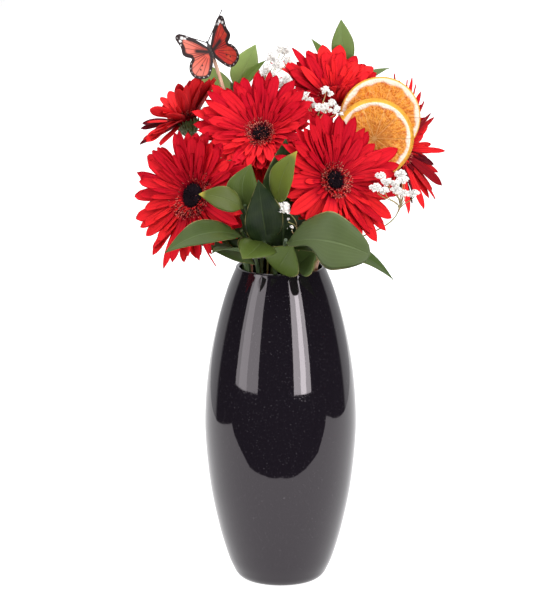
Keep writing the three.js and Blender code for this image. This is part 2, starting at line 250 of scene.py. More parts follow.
CAMERA_PLACE = Vector((-0.0035, -2.25, 0.7578))
CAMERA_AIM = Vector((-0.0035, 0, 0.238))
camera = stand("camera", bpy.data.cameras.new("camera"))
camera.location = CAMERA_PLACE
camera.rotation_euler = (CAMERA_AIM - CAMERA_PLACE).to_track_quat("-Z", "Y").to_euler()
camera.data.sensor_fit = "VERTICAL"
camera.data.sensor_height = 36
camera.data.lens = 162.35
scene.camera = camera

# ---------------------------------------------------------------- vase
# Slip-cast stoneware under a thick black gloss glaze, in the shape of a slim barrel. The glaze is
# full of fine specks and runs a little thinner over the lip, where it shines in a thin line.

VASE_OUTLINE = [(34, 0), (37.5, 3), (40.5, 8), (45.5, 20), (52.7, 45), (59.8, 80), (64, 120),
                (64.2, 150), (60.9, 185), (54.2, 220), (45.7, 250), (37.8, 270)]
VASE_WALL = 3.2
VASE_FLOOR = 8.0
VASE_SIDES = 160


def through(points, steps):
    """A smooth curve through the points, with that many steps in each stretch."""
    points = np.asarray(points, float)
    padded = np.vstack([2 * points[0] - points[1], points, 2 * points[-1] - points[-2]])
    made = []
    for first in range(len(points) - 1):
        a, b, c, d = padded[first:first + 4]
        for t in np.arange(steps) / steps:
            made.append(0.5 * (2 * b + (c - a) * t + (2 * a - 5 * b + 4 * c - d) * t ** 2
                               + (3 * b - a - 3 * c + d) * t ** 3))
    return np.array(made + [points[-1]])


def turned(profile, sides):
    """Points and faces of a solid of revolution; the profile runs from axis to axis."""
    points, faces, rings = [], [], []
    for radius, height in profile:
        if radius < 1e-6:
            rings.append([len(points)] * sides)
            points.append((0, 0, height))
        else:
            rings.append(list(range(len(points), len(points) + sides)))
            points.extend((radius * math.cos(a), radius * math.sin(a), height)
                          for a in 2 * math.pi * np.arange(sides) / sides)
    for lower, upper in zip(rings, rings[1:]):
        for i in range(sides):
            j = (i + 1) % sides
            corner = [lower[i], lower[j], upper[j], upper[i]]
            faces.append(list(dict.fromkeys(corner)))
    return np.array(points), faces


def stands_for(made, solid):
    """A finished piece takes the place of a solid. The whole bouquet rides on one body."""
    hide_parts(solid)
    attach(made, "root")


wall = through(VASE_OUTLINE, 8)
lip = [wall[-1] + VASE_WALL / 2 * np.array((math.cos(a) - 1, math.sin(a) * 0.8))
       for a in np.linspace(0.3, math.pi - 0.3, 7)]
inner = [(r - VASE_WALL, z) for r, z in wall[::-1] if z > VASE_FLOOR + 8]
inner_foot = through([inner[-1], (inner[-1][0] - 6, VASE_FLOOR + 1.5),
                      (inner[-1][0] - 14, VASE_FLOOR)], 4)[1:]
foot = [(0, 0), (32.8, 0), (33.7, 0.25)]
profile = [*foot, *wall[2:], *lip, *inner, *inner_foot, (0, VASE_FLOOR)]

glaze, tree = finish_of("black_gloss_glaze")
speck = tree.noise(900, 3).step(0.62, 0.72)
dust = tree.noise(900, 2).step(0.70, 0.78)
black = tree.mix(speck * 0.5, (0.0065, 0.0050, 0.0075), (0.05, 0.046, 0.052))
tree.surface({
    "Base Color": tree.mix(dust * 0.25, black, (0.16, 0.15, 0.16)),
    "Roughness": tree.noise(14, 3) * 0.04 + speck * 0.1 + 0.02,
    "IOR": 1.52, "Specular Tint": (1.0, 0.92, 0.97, 1),
    "Normal": tree.bump(tree.noise(55, 2) * 0.7 + speck * 0.05, 0.00025, 0.3)})

vase = shape("vase_body", *turned(profile, VASE_SIDES), glaze)
stands_for(vase, "vase")

# ---------------------------------------------------------------- gerbera stems
# Bare, slightly downy green stalks. They stand in a ring on the vase's floor, twist as they rise,
# leave the mouth together and bow over to their flowers. The cup of bracts tops each of them.

RING_RADIUS = 30.5
RING_SHRINK = 0.8
RING_TWIST = 50.0
GAP = 0.35
BOW_REACH = 0.3
GERBERA_STEM = 2.8
CALYX_DEPTH = 13.0
HEAD_UNDERSIDE = -2.2
BRACT_SEED = 300

# rows of bracts on the cup: count, share of the eye's radius, height, cup, length
BRACT_ROWS = ((13, 0.5, -11.5, 48, 8), (16, 0.72, -8.5, 54, 8), (18, 0.86, -5.2, 58, 6))

# cup and reach are given every 45 degrees round the head, from its right over its top
GERBERAS = {
    "gerbera_front_left": dict(
        azimuth=206, centre=(-71, -38, 338), facing=(-0.62, -0.7, 0.35), eye=11.5, core=0.88,
        reach=(52, 52, 56, 57, 57, 57, 56, 50), cup=(-8, 2, 16, 22, 22, 2, -12, -20)),
    "gerbera_middle": dict(
        azimuth=100, centre=(-16, -20, 386), facing=(-0.11, -0.7, 0.71), eye=9.5, core=0.64,
        flecks=0.2,
        reach=(46, 53, 57, 58, 56, 45, 40, 40), cup=(24, 24, 24, 22, 20, 14, 6, 12)),
    "gerbera_front_right": dict(
        azimuth=320, centre=(43, -45, 352), facing=(0.56, -0.75, 0.35), eye=9.5, core=0.72,
        reach=(61, 55, 57, 58, 48, 48, 53, 60), cup=(10, 12, 14, 8, -10, -18, -14, -2)),
    "gerbera_back_right": dict(
        azimuth=60, centre=(44, 30, 408), facing=(0.05, -0.65, 0.76), eye=9.5, core=0.6,
        florets=160, broad=1.2, sparse=0.8, painted_light=(1.1, 1.2, 1.1, 0.5, 0.3, 0.2, 0.3, 0.6),
        reach=(33, 46, 50, 50, 54, 44, 28, 15), cup=(26, 26, 26, 24, 12, 20, 26, 30)),
    "gerbera_far_right": dict(
        azimuth=20, centre=(99, 52, 362), facing=(0.84, -0.45, 0.28), eye=9.5, shade=0.85,
        sparse=0.75, broad=0.72, kinds=(0,),
        reach=(54, 56, 58, 46, 38, 42, 54, 56), cup=(14, 16, 14, 14, 10, 10, 6, 8)),
    "gerbera_far_left": dict(
        azimuth=165, centre=(-79, 24, 390), facing=(-0.3, 0.25, 0.92), eye=9.5, shade=0.95,
        sparse=0.62, kinds=(0,), twist=36,
        reach=(40, 46, 48, 46, 43, 46, 44, 42), cup=(-16, 40, 48, 48, 48, 45, 22, -8)),
}


def unit(vector):
    return np.asarray(vector, float) / np.linalg.norm(vector)


def bowed(t, start, first, second, end):
    """A point of a bow that sets out towards first and comes in from second."""
    return ((1 - t) ** 3 * start + 3 * t * (1 - t) ** 2 * first
            + 3 * t ** 2 * (1 - t) * second + t ** 3 * end)


def route(azimuth, radius, end, direction):
    """Points along a stem, and its bow above the rim as a function of the share of the way."""
    def ring_point(height, size, turn):
        angle = math.radians(azimuth + turn)
        return np.array((size * math.cos(angle), size * math.sin(angle), height))
    foot_point = ring_point(VASE_FLOOR + GAP + 0.1 * radius, RING_RADIUS * RING_SHRINK, RING_TWIST)
    neck = ring_point(VASE_OUTLINE[-1][1], RING_RADIUS, 0)
    end = np.asarray(end, float)
    reach = np.linalg.norm(end - neck)
    first = neck + unit(neck - foot_point) * reach * BOW_REACH
    second = end - unit(direction) * reach * BOW_REACH

    def bow(t):
        return bowed(t, neck, first, second, end)
    lower = [foot_point + (neck - foot_point) * t for t in np.linspace(0, 1, 8)[:-1]]
    return np.array(lower + [bow(t) for t in np.linspace(0, 1, 22)]), bow


def note(made, **fields):
    """Writes numbers or vectors onto a mesh, one for each of its points."""
    for label, values in fields.items():
        values = np.asarray(values, np.float32)
        kind, key = ("FLOAT", "value") if values.ndim == 1 else ("FLOAT_VECTOR", "vector")
        made.data.attributes.new(label, kind, "POINT").data.foreach_set(key, values.ravel())


def seeds(name, points, edges=(), **fields):
    """Bare points, in a chain where they have edges, with the numbers that they carry."""
    mesh = bpy.data.meshes.new(name)
    mesh.from_pydata((np.asarray(points) * MM).tolist(), edges, [])
    made = stand(name, mesh)
    note(made, **fields)
    return made


def group(name, **sockets):
    """A Geometry Nodes tree with a Geometry input, the named inputs and a Geometry output."""
    made = bpy.data.node_groups.new(name, "GeometryNodeTree")
    for label, kind in {"Geometry": "Geometry", **sockets}.items():
        made.interface.new_socket(label, in_out="INPUT", socket_type="NodeSocket" + kind)
    made.interface.new_socket("Geometry", in_out="OUTPUT", socket_type="NodeSocketGeometry")
    tree = Tree(made)
    return tree, tree.node("NodeGroupInput").outputs, tree.node("NodeGroupOutput").inputs[0]


def ends_as(result, tree, geometry, material):
    """Closes a Geometry Nodes tree with plain geometry in one material."""
    plain = tree.node("GeometryNodeRealizeInstances", {0: geometry})
    painted = tree.node("GeometryNodeSetMaterial", {0: plain.outputs[0], 2: material})
    plug(result, painted.outputs[0])


def grown(name, source, tree, **inputs):
    """The plain mesh that a Geometry Nodes tree makes of an object, which is used up."""
    modifier = source.modifiers.new("grow", "NODES")
    modifier.node_group = tree.tree
    for item in tree.tree.interface.items_tree:
        if item.in_out == "INPUT" and item.name.lower() in inputs:
            modifier[item.identifier] = inputs[item.name.lower()]
    source.update_tag()
    view = bpy.context.evaluated_depsgraph_get()
    view.update()
    mesh = bpy.data.meshes.new_from_object(source.evaluated_get(view))
    bpy.data.objects.remove(source)
    mesh.name = name
    mesh.shade_smooth()
    return stand(name, mesh)


# a rod along every chain of edges, its radius given for the whole and by the chain's girth
rods, given, result = group("rods", Radius="Float", Sides="Int", Material="Material")
curve = rods.node("GeometryNodeMeshToCurve", {"Mesh": given["Geometry"]})
ring = rods.node("GeometryNodeCurvePrimitiveCircle", {
    "Resolution": given["Sides"], "Radius": 1.0}, mode="RADIUS")
tube = rods.node("GeometryNodeCurveToMesh", {
    "Curve": curve.outputs[0], "Profile Curve": ring.outputs[0], "Fill Caps": True,
    "Scale": rods.carried("girth") * Value(given["Radius"])})
ends_as(result, rods, tube.outputs[0], given["Material"])


def rod(name, points, radius, sides, material, girth=1.0):
    """A rod along the points; the girth widens or narrows it at each of them."""
    chain = seeds("line", points, [(i, i + 1) for i in range(len(points) - 1)],
                  girth=np.broadcast_to(girth, len(points)))
    return grown(name, chain, rods, radius=radius * MM, sides=sides, material=material)


def joined(*parts):
    """The parts as one object, under the name of the first."""
    with bpy.context.temp_override(active_object=parts[0], selected_editable_objects=[*parts]):
        bpy.ops.object.join()
    return parts[0]


stalk_green, tree = finish_of("stalk_green")
fibre = tree.grain((260.0, 260.0, 18.0), 3)
green = tree.mix(tree.noise(38, 2).step(0.35, 0.7), (0.05, 0.10, 0.024), (0.11, 0.17, 0.045))
tree.surface({
    "Base Color": tree.mix(fibre.step(0.45, 0.75) * 0.35, green, (0.22, 0.22, 0.09)),
    "Roughness": fibre * 0.25 + 0.35, "Normal": tree.bump(fibre, 0.0004, 0.5)})


def face_basis(facing):
    """Columns: a flower's right, its top and the way it looks."""
    z = unit(facing)
    x = unit(np.cross((0, 0, 1), z))
    return np.column_stack([x, np.cross(z, x), z])


def placed(made, basis, centre):
    """Moves a mesh that was made about the origin to its place in the bouquet."""
    matrix = Matrix(np.asarray(basis).tolist()).to_4x4()
    matrix.translation = Vector(np.asarray(centre, float) * MM)
    made.data.transform(matrix)
    return made


# ---------------------------------------------------------------- blades
# Petals, bracts, filaments and bristles are all narrow blades that leave a round root and bend on
# their way out. One prototype of each kind is bent to the length, cup and curl of every place.


def ringed(rows, around):
    """The faces of a closed skin over rows of points, with a cap at each end."""
    last = (rows - 1) * around
    faces = [(r + i, r + around + i, r + around + (i + 1) % around, r + (i + 1) % around)
             for r in range(0, last, around) for i in range(around)]
    return faces + [tuple(range(around)), tuple(range(last + around - 1, last - 1, -1))]


def blade(name, broad, tooth=0.0, channel=0.0, ridge=0.0, thick=0.5, across=8, along=12):
    """A closed flat blade of unit length and width, with a groove down its middle."""
    ups = np.linspace(-1, 1, across + 1)
    waves = np.cos(3 * math.pi * ups)
    rows = []
    for share in np.sin(np.linspace(0, math.pi / 2, along + 1)):
        half = np.interp(share, *zip(*broad))
        end = max(0.0, (share - 0.84) / 0.16) ** 2
        pull = end * (0.02 * ups ** 2 + tooth * (1 - waves) / 2)
        top = channel * ups ** 2 + ridge * waves * math.sin(math.pi * share) ** 0.5
        rim = thick * np.sqrt(np.maximum(0, 1 - ups ** 2)) * (1 - 0.6 * share)
        upper = np.column_stack([share - pull, ups * half, top])
        lower = np.column_stack([share - pull, ups * half, top - rim])[-2:0:-1]
        rows.append(np.vstack([upper, lower]))
    points = np.vstack(rows)
    made = shape(name, points / MM, ringed(len(rows), len(rows[0])))
    wide = np.maximum(np.interp(points[:, 0], *zip(*broad)), 0.05)
    underside = np.tile([0.0] * (across + 1) + [1.0] * (across - 1), along + 1)
    note(made, along=points[:, 0], across=points[:, 1] / wide, under=underside)
    return made


BLADES = bpy.data.collections.new("blades")
for made in (
        blade("0_pointed_petal", [(0, 0.4), (0.12, 0.52), (0.3, 0.8), (0.5, 0.96), (0.66, 1),
                                  (0.78, 0.9), (0.88, 0.68), (0.95, 0.4), (1, 0.08)], channel=0.9,
              ridge=0.12),
        blade("1_short_floret", [(0, 0.6), (0.5, 1), (0.8, 0.8), (1, 0.25)], tooth=0.08,
              channel=0.5, thick=0.35, across=4, along=6),
        blade("2_filament", [(0, 1), (0.6, 0.7), (0.85, 1.1), (1, 0.4)], thick=0.3, across=2,
              along=5),
        blade("3_bract", [(0, 1), (0.3, 0.95), (0.7, 0.55), (1, 0.08)], channel=0.5, thick=0.6,
              across=4, along=6),
        blade("4_notched_petal", [(0, 0.4), (0.12, 0.52), (0.3, 0.78), (0.5, 0.95), (0.7, 1),
                                  (0.83, 0.93), (0.92, 0.74), (0.97, 0.5), (1, 0.26)], tooth=0.022,
              channel=0.9, ridge=0.12),
        ):
    scene.collection.objects.unlink(made)
    BLADES.objects.link(made)

TRAITS = ("kind", "angle", "root", "rise", "long", "cup", "curl", "twist", "sway", "width", "tone")

# every point becomes the blade of its kind, bent as its traits say; a curl of 0 can't be bent
bend, given, result = group("bent blades", Blades="Collection", Core="Object", Material="Material")
trait = {name: bend.carried(name) for name in TRAITS}
kinds = bend.node("GeometryNodeCollectionInfo", {
    "Collection": given["Blades"], "Separate Children": True, "Reset Children": True})
spread = bend.node("GeometryNodeInstanceOnPoints", {
    "Points": given["Geometry"], "Instance": kinds.outputs[0], "Pick Instance": True,
    "Instance Index": trait["kind"]})
blades = bend.node("GeometryNodeRealizeInstances", {0: spread.outputs[0]})
flat = bend.node("ShaderNodeSeparateXYZ", {
    0: bend.node("GeometryNodeInputPosition").outputs[0]})
along, aside, lift = (Value(flat.outputs[i]) for i in range(3))
turn = trait["cup"] + trait["curl"] * along
roll = trait["twist"] * along
side = aside * trait["width"] * roll.cos() - lift * MM * roll.sin()
side = side + trait["sway"] * along * along
above = aside * trait["width"] * roll.sin() + lift * MM * roll.cos()
out = trait["root"] + trait["long"] * (turn.sin() - trait["cup"].sin()) / trait["curl"]
out = out - turn.sin() * above
high = trait["rise"] + trait["long"] * (trait["cup"].cos() - turn.cos()) / trait["curl"]
high = high + turn.cos() * above
rightwards, upwards = trait["angle"].cos(), trait["angle"].sin()
here = bend.node("ShaderNodeCombineXYZ", {
    0: out * rightwards - side * upwards, 1: out * upwards + side * rightwards, 2: high})
bent = bend.node("GeometryNodeSetPosition", {
    "Geometry": blades.outputs[0], "Position": here.outputs[0]})
core = bend.node("GeometryNodeObjectInfo", {"Object": given["Core"]})
whole = bend.node("GeometryNodeJoinGeometry")
for part in (core.outputs["Geometry"], bent.outputs[0]):
    plug(whole.inputs[0], part)
ends_as(result, bend, whole.outputs[0], given["Material"])


def blades_of(name, rows, core, material):
    """The finished mesh of a list of traits around a core."""
    fields = {label: np.array([row[label] for row in rows], np.float32) for label in TRAITS}
    for label in ("root", "rise", "long", "sway", "width"):
        fields[label] *= MM
    for label in ("angle", "cup", "curl", "twist"):
        fields[label] = np.radians(fields[label])
    source = seeds(name, np.zeros((len(rows), 3)), **fields)
    made = grown(name, source, bend, blades=BLADES, core=core, material=material)
    bpy.data.objects.remove(core)
    return made


def calyx_core(eye):
    """The green cup under a head, from the stem's end to the petals' roots."""
    low = -CALYX_DEPTH
    side = through([(GERBERA_STEM - 0.2, low - 1), (GERBERA_STEM + 0.7, low),
                    (eye * 0.62, -9), (eye * 0.85, -5), (eye * 0.9, -2.4)], 3)
    return shape("cup", *turned([(0, low - 1), *side, (0, HEAD_UNDERSIDE)], 24))


for number, (name, flower) in enumerate(GERBERAS.items()):
    rng = np.random.default_rng(BRACT_SEED + number)
    basis = face_basis(flower["facing"])
    centre = np.array(flower["centre"], float)
    bracts = []
    for row, (count, root, rise, cup, length) in enumerate(BRACT_ROWS):
        for i in range(count):
            bracts.append(dict(
                kind=3, angle=360 * (i + 0.5 * row + rng.uniform(-0.2, 0.2)) / count,
                root=root * flower["eye"] + 0.3, rise=rise, long=length * rng.uniform(0.85, 1.1),
                cup=cup, curl=18, twist=rng.uniform(-8, 8), sway=0, width=1.6, tone=rng.uniform()))
    cup_part = blades_of("cup", bracts, calyx_core(flower["eye"]), stalk_green)
    end = centre - unit(flower["facing"]) * (CALYX_DEPTH - 1)
    points, _ = route(flower["azimuth"], GERBERA_STEM, end, flower["facing"])
    girth = np.interp(np.linspace(0, 1, len(points)), (0, 0.3, 0.97, 1), (1.02, 1, 0.86, 1.05))
    stalk = rod(name + "_stalk", points, GERBERA_STEM, 16, stalk_green, girth)
    stands_for(joined(stalk, placed(cup_part, basis, centre)), name + "_stem")

# ---------------------------------------------------------------- gerbera heads
# Five overlapping whorls of satin red straps, a collar of short florets and a black eye. The eye
# is a low cushion of bristles inside a ring of dark filaments with pale pink tips.

PETAL_SEED = 100
SHORTEST_PETAL = 3.0

petal_red, tree = finish_of("petal_red")
along, across, under, tone = tree.attributes("along", "across", "under", "tone")
fine = (across * 25.0 + tree.noise(160, 2) * 4.0).sin() * 0.5 + 0.5
groove = (across.size() - 0.36).size().step(0.14, 0.02) * along.step(0.98, 0.6)
# The red carries painted light and shade: darker towards the root, a painted shade where the petals
# overlap round the eye; brighter towards the tip on petals painted as lit; and dark maroon on
# petals painted as lying in shadow.
red = tree.mix(along.step(0.0, 0.7), (0.26, 0.0006, 0.010), (0.50, 0.0015, 0.016))
red = tree.mix(tone * along.step(0.05, 0.6), red, (0.95, 0.022, 0.026))
red = tree.mix(groove * 0.34 + fine * 0.16, red, (0.22, 0.0005, 0.009))
red = tree.mix(along.step(0.95, 1.0) * 0.2, red, (0.85, 0.05, 0.05))
red = tree.mix(under * 0.45, red, (0.40, 0.016, 0.024))
red = tree.mix(tone.step(1.0, 2.0), red, (0.085, 0.002, 0.008))
tree.surface({
    "Base Color": red, "Roughness": fine * 0.12 + 0.55, "Specular IOR Level": 0.07,
    "Normal": tree.bump(fine * 0.35 - groove * 0.5, 0.0005, 0.5)},
    0.2, tree.translucent((0.75, 0.006, 0.02)))

eye_dark, tree = finish_of("eye_dark")
along, tone = tree.attributes("along", "tone")
tip = along.step(0.66, 0.86) * tone.step(0.45, 0.6)
dark = tree.mix(tone.step(0.4, 0.9) * along.step(0.0, 0.5), (0.0075, 0.0025, 0.0055),
                (0.20, 0.003, 0.014))
tree.surface({"Base Color": tree.mix(tip * 0.7, dark, (0.88, 0.24, 0.17)),
              "Roughness": 0.85, "Specular IOR Level": 0.12})


def around8(values, angle):
    """Value at an angle in degrees, from eight values given every 45 degrees."""
    place = (angle % 360) / 45
    first = int(place)
    share = (1 - math.cos(math.pi * (place - first))) / 2
    return values[first % 8] * (1 - share) + values[(first + 1) % 8] * share


# share of the reach, extra cup, curl, width, how far out the root is, its height, count
WHORLS = ((1.0, -5, -6, 5.6, 0.6, -1.3, 21), (0.97, 1, -9, 5.3, 0.6, -0.5, 20),
          (0.92, 6, -13, 4.9, 0.65, 0.3, 18), (0.7, 11, -15, 2.1, 0.75, 0.9, 30),
          (0.47, 17, -16, 1.5, 0.8, 1.1, 34))

# the two rows of short florets: count, how far out the root is, shortest, longest, cup, width
FLORETS = ((40, 0.92, 6, 10, 34, 1.1), (44, 0.86, 4, 7, 52, 0.9))

# painted light round a head: petals that hang forward are painted as if they caught more light
PAINTED_LIGHT = (0.55, 0.35, 0.25, 0.35, 0.6, 0.9, 1.1, 0.9)

# what holds for a head whose own lines say nothing else; shade is painted shade on its petals
PLAIN_HEAD = dict(shade=0.0, sparse=1.0, broad=1.0, core=0.78, kinds=(0, 4), twist=13, painted_light=PAINTED_LIGHT,
                  florets=420, flecks=0.03)

# petals that stand out: angle, root, length, cup, curl, width, twist, sway, tone (above 1 is dark)
# the last value is partly painted light; above 1 it is painted shade, maroon petals in shadow
STRAYS = {
    "gerbera_front_left": (
        (-17, 8, 50, 6, -14, 5.6, 10, 0, 0.2), (-63, 20, 44, -4, -20, 1.7, 60, 6, 0.5),
        (214, 8, 53, 8, -18, 6.0, 8, 0, 1.0), (226, 8, 50, 10, -22, 5.6, -14, -2, 0.9),
        (239, 8, 56, 2, -14, 5.2, -8, 0, 0.9), (253, 8, 59, -2, -10, 5.2, 6, 0, 0.8),
        (262, 8, 50, 4, -10, 5.0, -20, 2, 0.3), (106, 8, 45, 16, -10, 5.8, 10, 0, 0.3),
        (85, 8, 42, 18, -10, 5.8, -12, 0, 0.6), (73, 8, 40, 16, -10, 6.0, 0, 0, 0.5),
        (62, 8, 40, 14, -8, 6.0, 8, 0, 0.2),
        (45, 8, 38, 6, -8, 6.0, 0, 0, 0.7), (27, 8, 38, 0, -10, 6.0, 10, 0, 0.3),
        (-8, 8, 48, 4, -14, 5.6, 0, 0, 0.8)),
    "gerbera_middle": (
        (214, 13, 26, 58, -165, 6.6, 20, -2, 1.0), (233, 13, 27, 62, -175, 7.0, -20, 0, 1.0),
        (251, 13, 25, 55, -160, 6.0, 25, 2, 1.0), (261, 12, 25, -10, -30, 5.0, -30, 2, 0.4),
        (270, 12, 30, -14, -30, 4.4, 50, -3, 0.3), (280, 12, 25, -10, -30, 4.4, -30, 0, 0.5),
        (265, 12, 34, -14, -30, 5.0, 10, 2, 0.5), (274, 12, 36, -14, -30, 4.6, -20, -1, 0.7),
        (168, 8, 53, 16, -8, 6.2, 10, 0, 0.6), (177, 8, 49, 12, -10, 6.2, -8, 0, 0.2),
        (185, 8, 43, 6, -12, 6.2, 6, 0, 0.8), (195, 8, 38, 0, -14, 6.0, 0, 0, 0.4)),
    "gerbera_front_right": (
        (176, 12, 37, 4, -10, 6.6, 10, 0, 0.5), (204, 12, 41, 0, -14, 6.8, -14, 0, 0.9),
        (240, 14, 34, 42, -95, 7.6, 0, 0, 1.0), (178, 19, 13, 26, -30, 2.6, 30, 0, 1.0),
        (119, 8, 44, 12, -6, 5.8, 0, 0, 0.4), (135, 8, 43, 10, -8, 6.0, 8, 0, 0.1),
        (149, 8, 41, 6, -8, 6.0, -8, 0, 0.6), (224, 10, 36, -7, -10, 6.2, 0, 0, 1.3),
        (-35, 8, 58, 2, -14, 6.2, 10, 0, 0.95), (-44, 8, 60, -4, -10, 5.8, -8, 0, 0.8),
        (-57, 8, 58, -2, -12, 6.2, 12, 0, 0.9), (-16, 8, 60, 4, -6, 6.0, 20, 0, 0.3),
        (15, 8, 62, 12, -12, 6.4, -10, 0, 0.35), (4, 8, 58, 10, -8, 5.4, 0, 0, 0.2)),
    "gerbera_back_right": (
        (130, 8, 48, 26, -8, 4.6, 20, 0, 0.2), (146, 8, 45, 24, -8, 4.6, -20, 0, 0.5),
        (153, 8, 53, 20, -8, 3.0, 40, 0, 0.8), (146, 8, 32, 40, -8, 5.4, 20, 0, 1.0),
        (99, 8, 41, 26, -6, 7.0, 0, 0, 1.0), (69, 8, 30, 28, -10, 6.8, 8, 0, 0.7),
        (44, 8, 32, 26, -10, 7.0, -6, 0, 0.9), (26, 8, 35, 22, -12, 6.6, 6, 0, 0.6),
        (205, 9, 24, 84, -24, 5.6, 0, 0, 0.9), (224, 9, 25, 90, -25, 5.4, 10, 0, 0.4),
        (243, 9, 26, 94, -20, 5.4, -10, 0, 1.4), (262, 9, 27, 96, -20, 5.4, 8, 0, 1.1),
        (281, 9, 26, 96, -20, 5.4, -12, 0, 1.5), (300, 9, 26, 92, -20, 5.2, 6, 0, 1.2),
        (320, 9, 26, 88, -20, 5.0, 0, 0, 0.8)),
    "gerbera_far_right": (
        (86, 6, 58, 14, -6, 2.6, 50, 0, 1.4), (77, 6, 52, 14, -6, 3.0, 20, 0, 1.5),
        (70, 6, 54, 18, -6, 2.8, 40, 0, 1.2), (66, 6, 57, 20, -6, 2.6, -20, 0, 1.1),
        (53, 6, 56, 16, -6, 2.8, 30, 0, 1.3), (48, 6, 52, 20, -6, 2.8, -30, 0, 1.4),
        (42, 6, 46, 24, -6, 2.8, 20, 0, 1.5), (27, 6, 44, 26, -6, 4.2, 40, 0, 1.7),
        (18, 6, 50, 20, -6, 2.4, 0, 0, 1.5), (-18, 6, 44, 34, -8, 2.6, 30, 0, 0.9),
        (-51, 6, 50, 22, -10, 4.8, 20, 0, 1.7), (-65, 6, 52, 16, -10, 4.4, -16, 0, 1.4),
        (-89, 6, 51, 14, -8, 4.2, 30, 0, 1.2), (-120, 6, 58, 14, -8, 4.0, 20, 0, 1.1)),
    "gerbera_far_left": (
        (240, 6, 52, 40, -10, 5.2, 10, 0, 1.0), (231, 6, 49, 46, -10, 5.2, -10, 0, 1.0),
        (11, 6, 46, 20, -10, 5.0, 60, 0, 0.9), (-26, 6, 36, -6, -20, 5.2, -75, 0, 1.2),
        (47, 6, 38, 50, -10, 5.2, 0, 0, 1.5), (67, 6, 37, 52, -10, 5.2, 10, 0, 1.6),
        (90, 6, 37, 54, -10, 5.2, -10, 0, 1.5)),
}

for number, (name, flower) in enumerate(GERBERAS.items()):
    rng = np.random.default_rng(PETAL_SEED + number)
    flower = {**PLAIN_HEAD, **flower}
    basis, eye = face_basis(flower["facing"]), flower["eye"]
    core = flower["core"] * eye
    straps = []
    for whorl, (share, lean, curl, width, root, rise, count) in enumerate(WHORLS):
        count = round(count * flower["sparse"])
        for i in range(count):
            angle = 360 * (i + 0.43 * whorl + rng.uniform(-0.2, 0.2)) / count
            length = around8(flower["reach"], angle) * share * rng.uniform(0.88, 1.05) - root * eye
            straps.append(dict(
                kind=rng.choice(flower["kinds"]), angle=angle,
                root=root * eye, rise=rise, long=max(length, SHORTEST_PETAL),
                cup=around8(flower["cup"], angle) + lean + rng.uniform(-4, 4) + 3,
                curl=curl + rng.uniform(-12, 9) + 0.01, twist=rng.normal(0, flower["twist"]),
                sway=rng.uniform(-3.5, 3.5),
                width=width * flower["broad"] * rng.uniform(0.82, 1.12),
                tone=min(1.0, rng.uniform(0.15, 1.15) * around8(flower["painted_light"], angle))
                + flower["shade"] * rng.uniform(0.7, 1.3)))
    for angle, root, long, cup, curl, width, twist, sway, tone in STRAYS[name]:
        straps.append(dict(kind=0, angle=angle, root=root, rise=1.2, long=long, cup=cup,
                           curl=curl + 0.01, twist=twist, sway=sway, width=width, tone=tone))
    for count, root, low, high, cup, width in FLORETS:
        for i in range(count):
            straps.append(dict(
                kind=1, angle=360 * (i + rng.uniform(-0.4, 0.4)) / count, root=root * eye, rise=0.8,
                long=rng.uniform(low, high), cup=cup + rng.uniform(-9, 9),
                curl=rng.uniform(-30, 12) + 0.01, twist=rng.uniform(-50, 50),
                sway=rng.uniform(-1.2, 1.2), width=width * rng.uniform(0.7, 1.2),
                tone=rng.uniform(0.9, 1.45)))
    disc = shape("disc", *turned([(0, HEAD_UNDERSIDE), (eye * 0.88, HEAD_UNDERSIDE),
                                  (eye * 0.9, 0.6), (0, 0.8)], 24))
    petals = placed(blades_of(name + "_straps", straps, disc, petal_red), basis, flower["centre"])
    stands_for(petals, name + "_petals")

    threads = []
    for i in range(flower["florets"]):
        place = rng.uniform(0.95, 1.95)
        threads.append(dict(
            kind=2, angle=rng.uniform(0, 360), root=core * place, rise=1.6 + 1.2 * (place - 1),
            long=rng.uniform(2.8, 5.2), cup=rng.uniform(40, 80), curl=rng.uniform(-60, 5) + 0.01,
            twist=0, sway=rng.uniform(-1.5, 1.5), width=0.3, tone=rng.uniform(0.45, 1)))
    for i in range(340):
        place = math.sqrt(rng.uniform(0, 1))
        threads.append(dict(
            kind=2, angle=rng.uniform(0, 360), root=core * 0.98 * place,
            rise=1.8 + 2.0 * (1 - place ** 2), long=rng.uniform(1.0, 2.0),
            cup=90 - 45 * place + rng.uniform(-14, 14), curl=rng.uniform(-20, 20) + 0.01,
            twist=0, sway=0, width=0.42,
            tone=rng.uniform(0, 0.4) + 0.45 * (rng.uniform() < flower["flecks"])))
    dome = shape("dome", *turned([(0, 0.9), (core, 0.9), (core * 1.02, 1.8), (core * 0.86, 3.0),
                                  (core * 0.56, 3.8), (core * 0.2, 4.0), (0, 3.9)], 28))
    bristles = blades_of(name + "_bristles", threads, dome, eye_dark)
    stands_for(placed(bristles, basis, flower["centre"]), name + "_eye")

# ---------------------------------------------------------------- foliage
# Cut sprigs of a glossy evergreen. Thin green stems stand among the gerberas, and stiff pointed
# leaves grow from them on short stalks. Veins run from base to tip, and the edge is a pale line.

FOLIAGE_STEM = 1.8
LEAF_HALF = 0.3
STALK_HALF = 0.75
LEAF_SEED = 500
LEAF_STATIONS = (-0.06, -0.02, *np.linspace(0.0, 1, 30))

# half width along a blade: share of its length, share of the half width
POINTED = ((0, 0.05), (0.06, 0.3), (0.2, 0.78), (0.38, 0.98), (0.58, 0.93), (0.78, 0.58),
           (0.93, 0.2), (1, 0.015))

# the broad leaf over the rim is lopsided: the outlines of its upper and its lower half
LOPSIDED = {"foliage_front_right_broad": (
    ((0, 0.05), (0.06, 0.3), (0.15, 0.64), (0.32, 0.88), (0.52, 0.97), (0.75, 0.72), (0.9, 0.46),
     (0.97, 0.26), (1, 0.03)),
    ((0, 0.05), (0.06, 0.17), (0.15, 0.2), (0.3, 0.25), (0.4, 0.48), (0.5, 0.8), (0.62, 0.93),
     (0.8, 0.74), (0.93, 0.42), (0.98, 0.2), (1, 0.03)))}
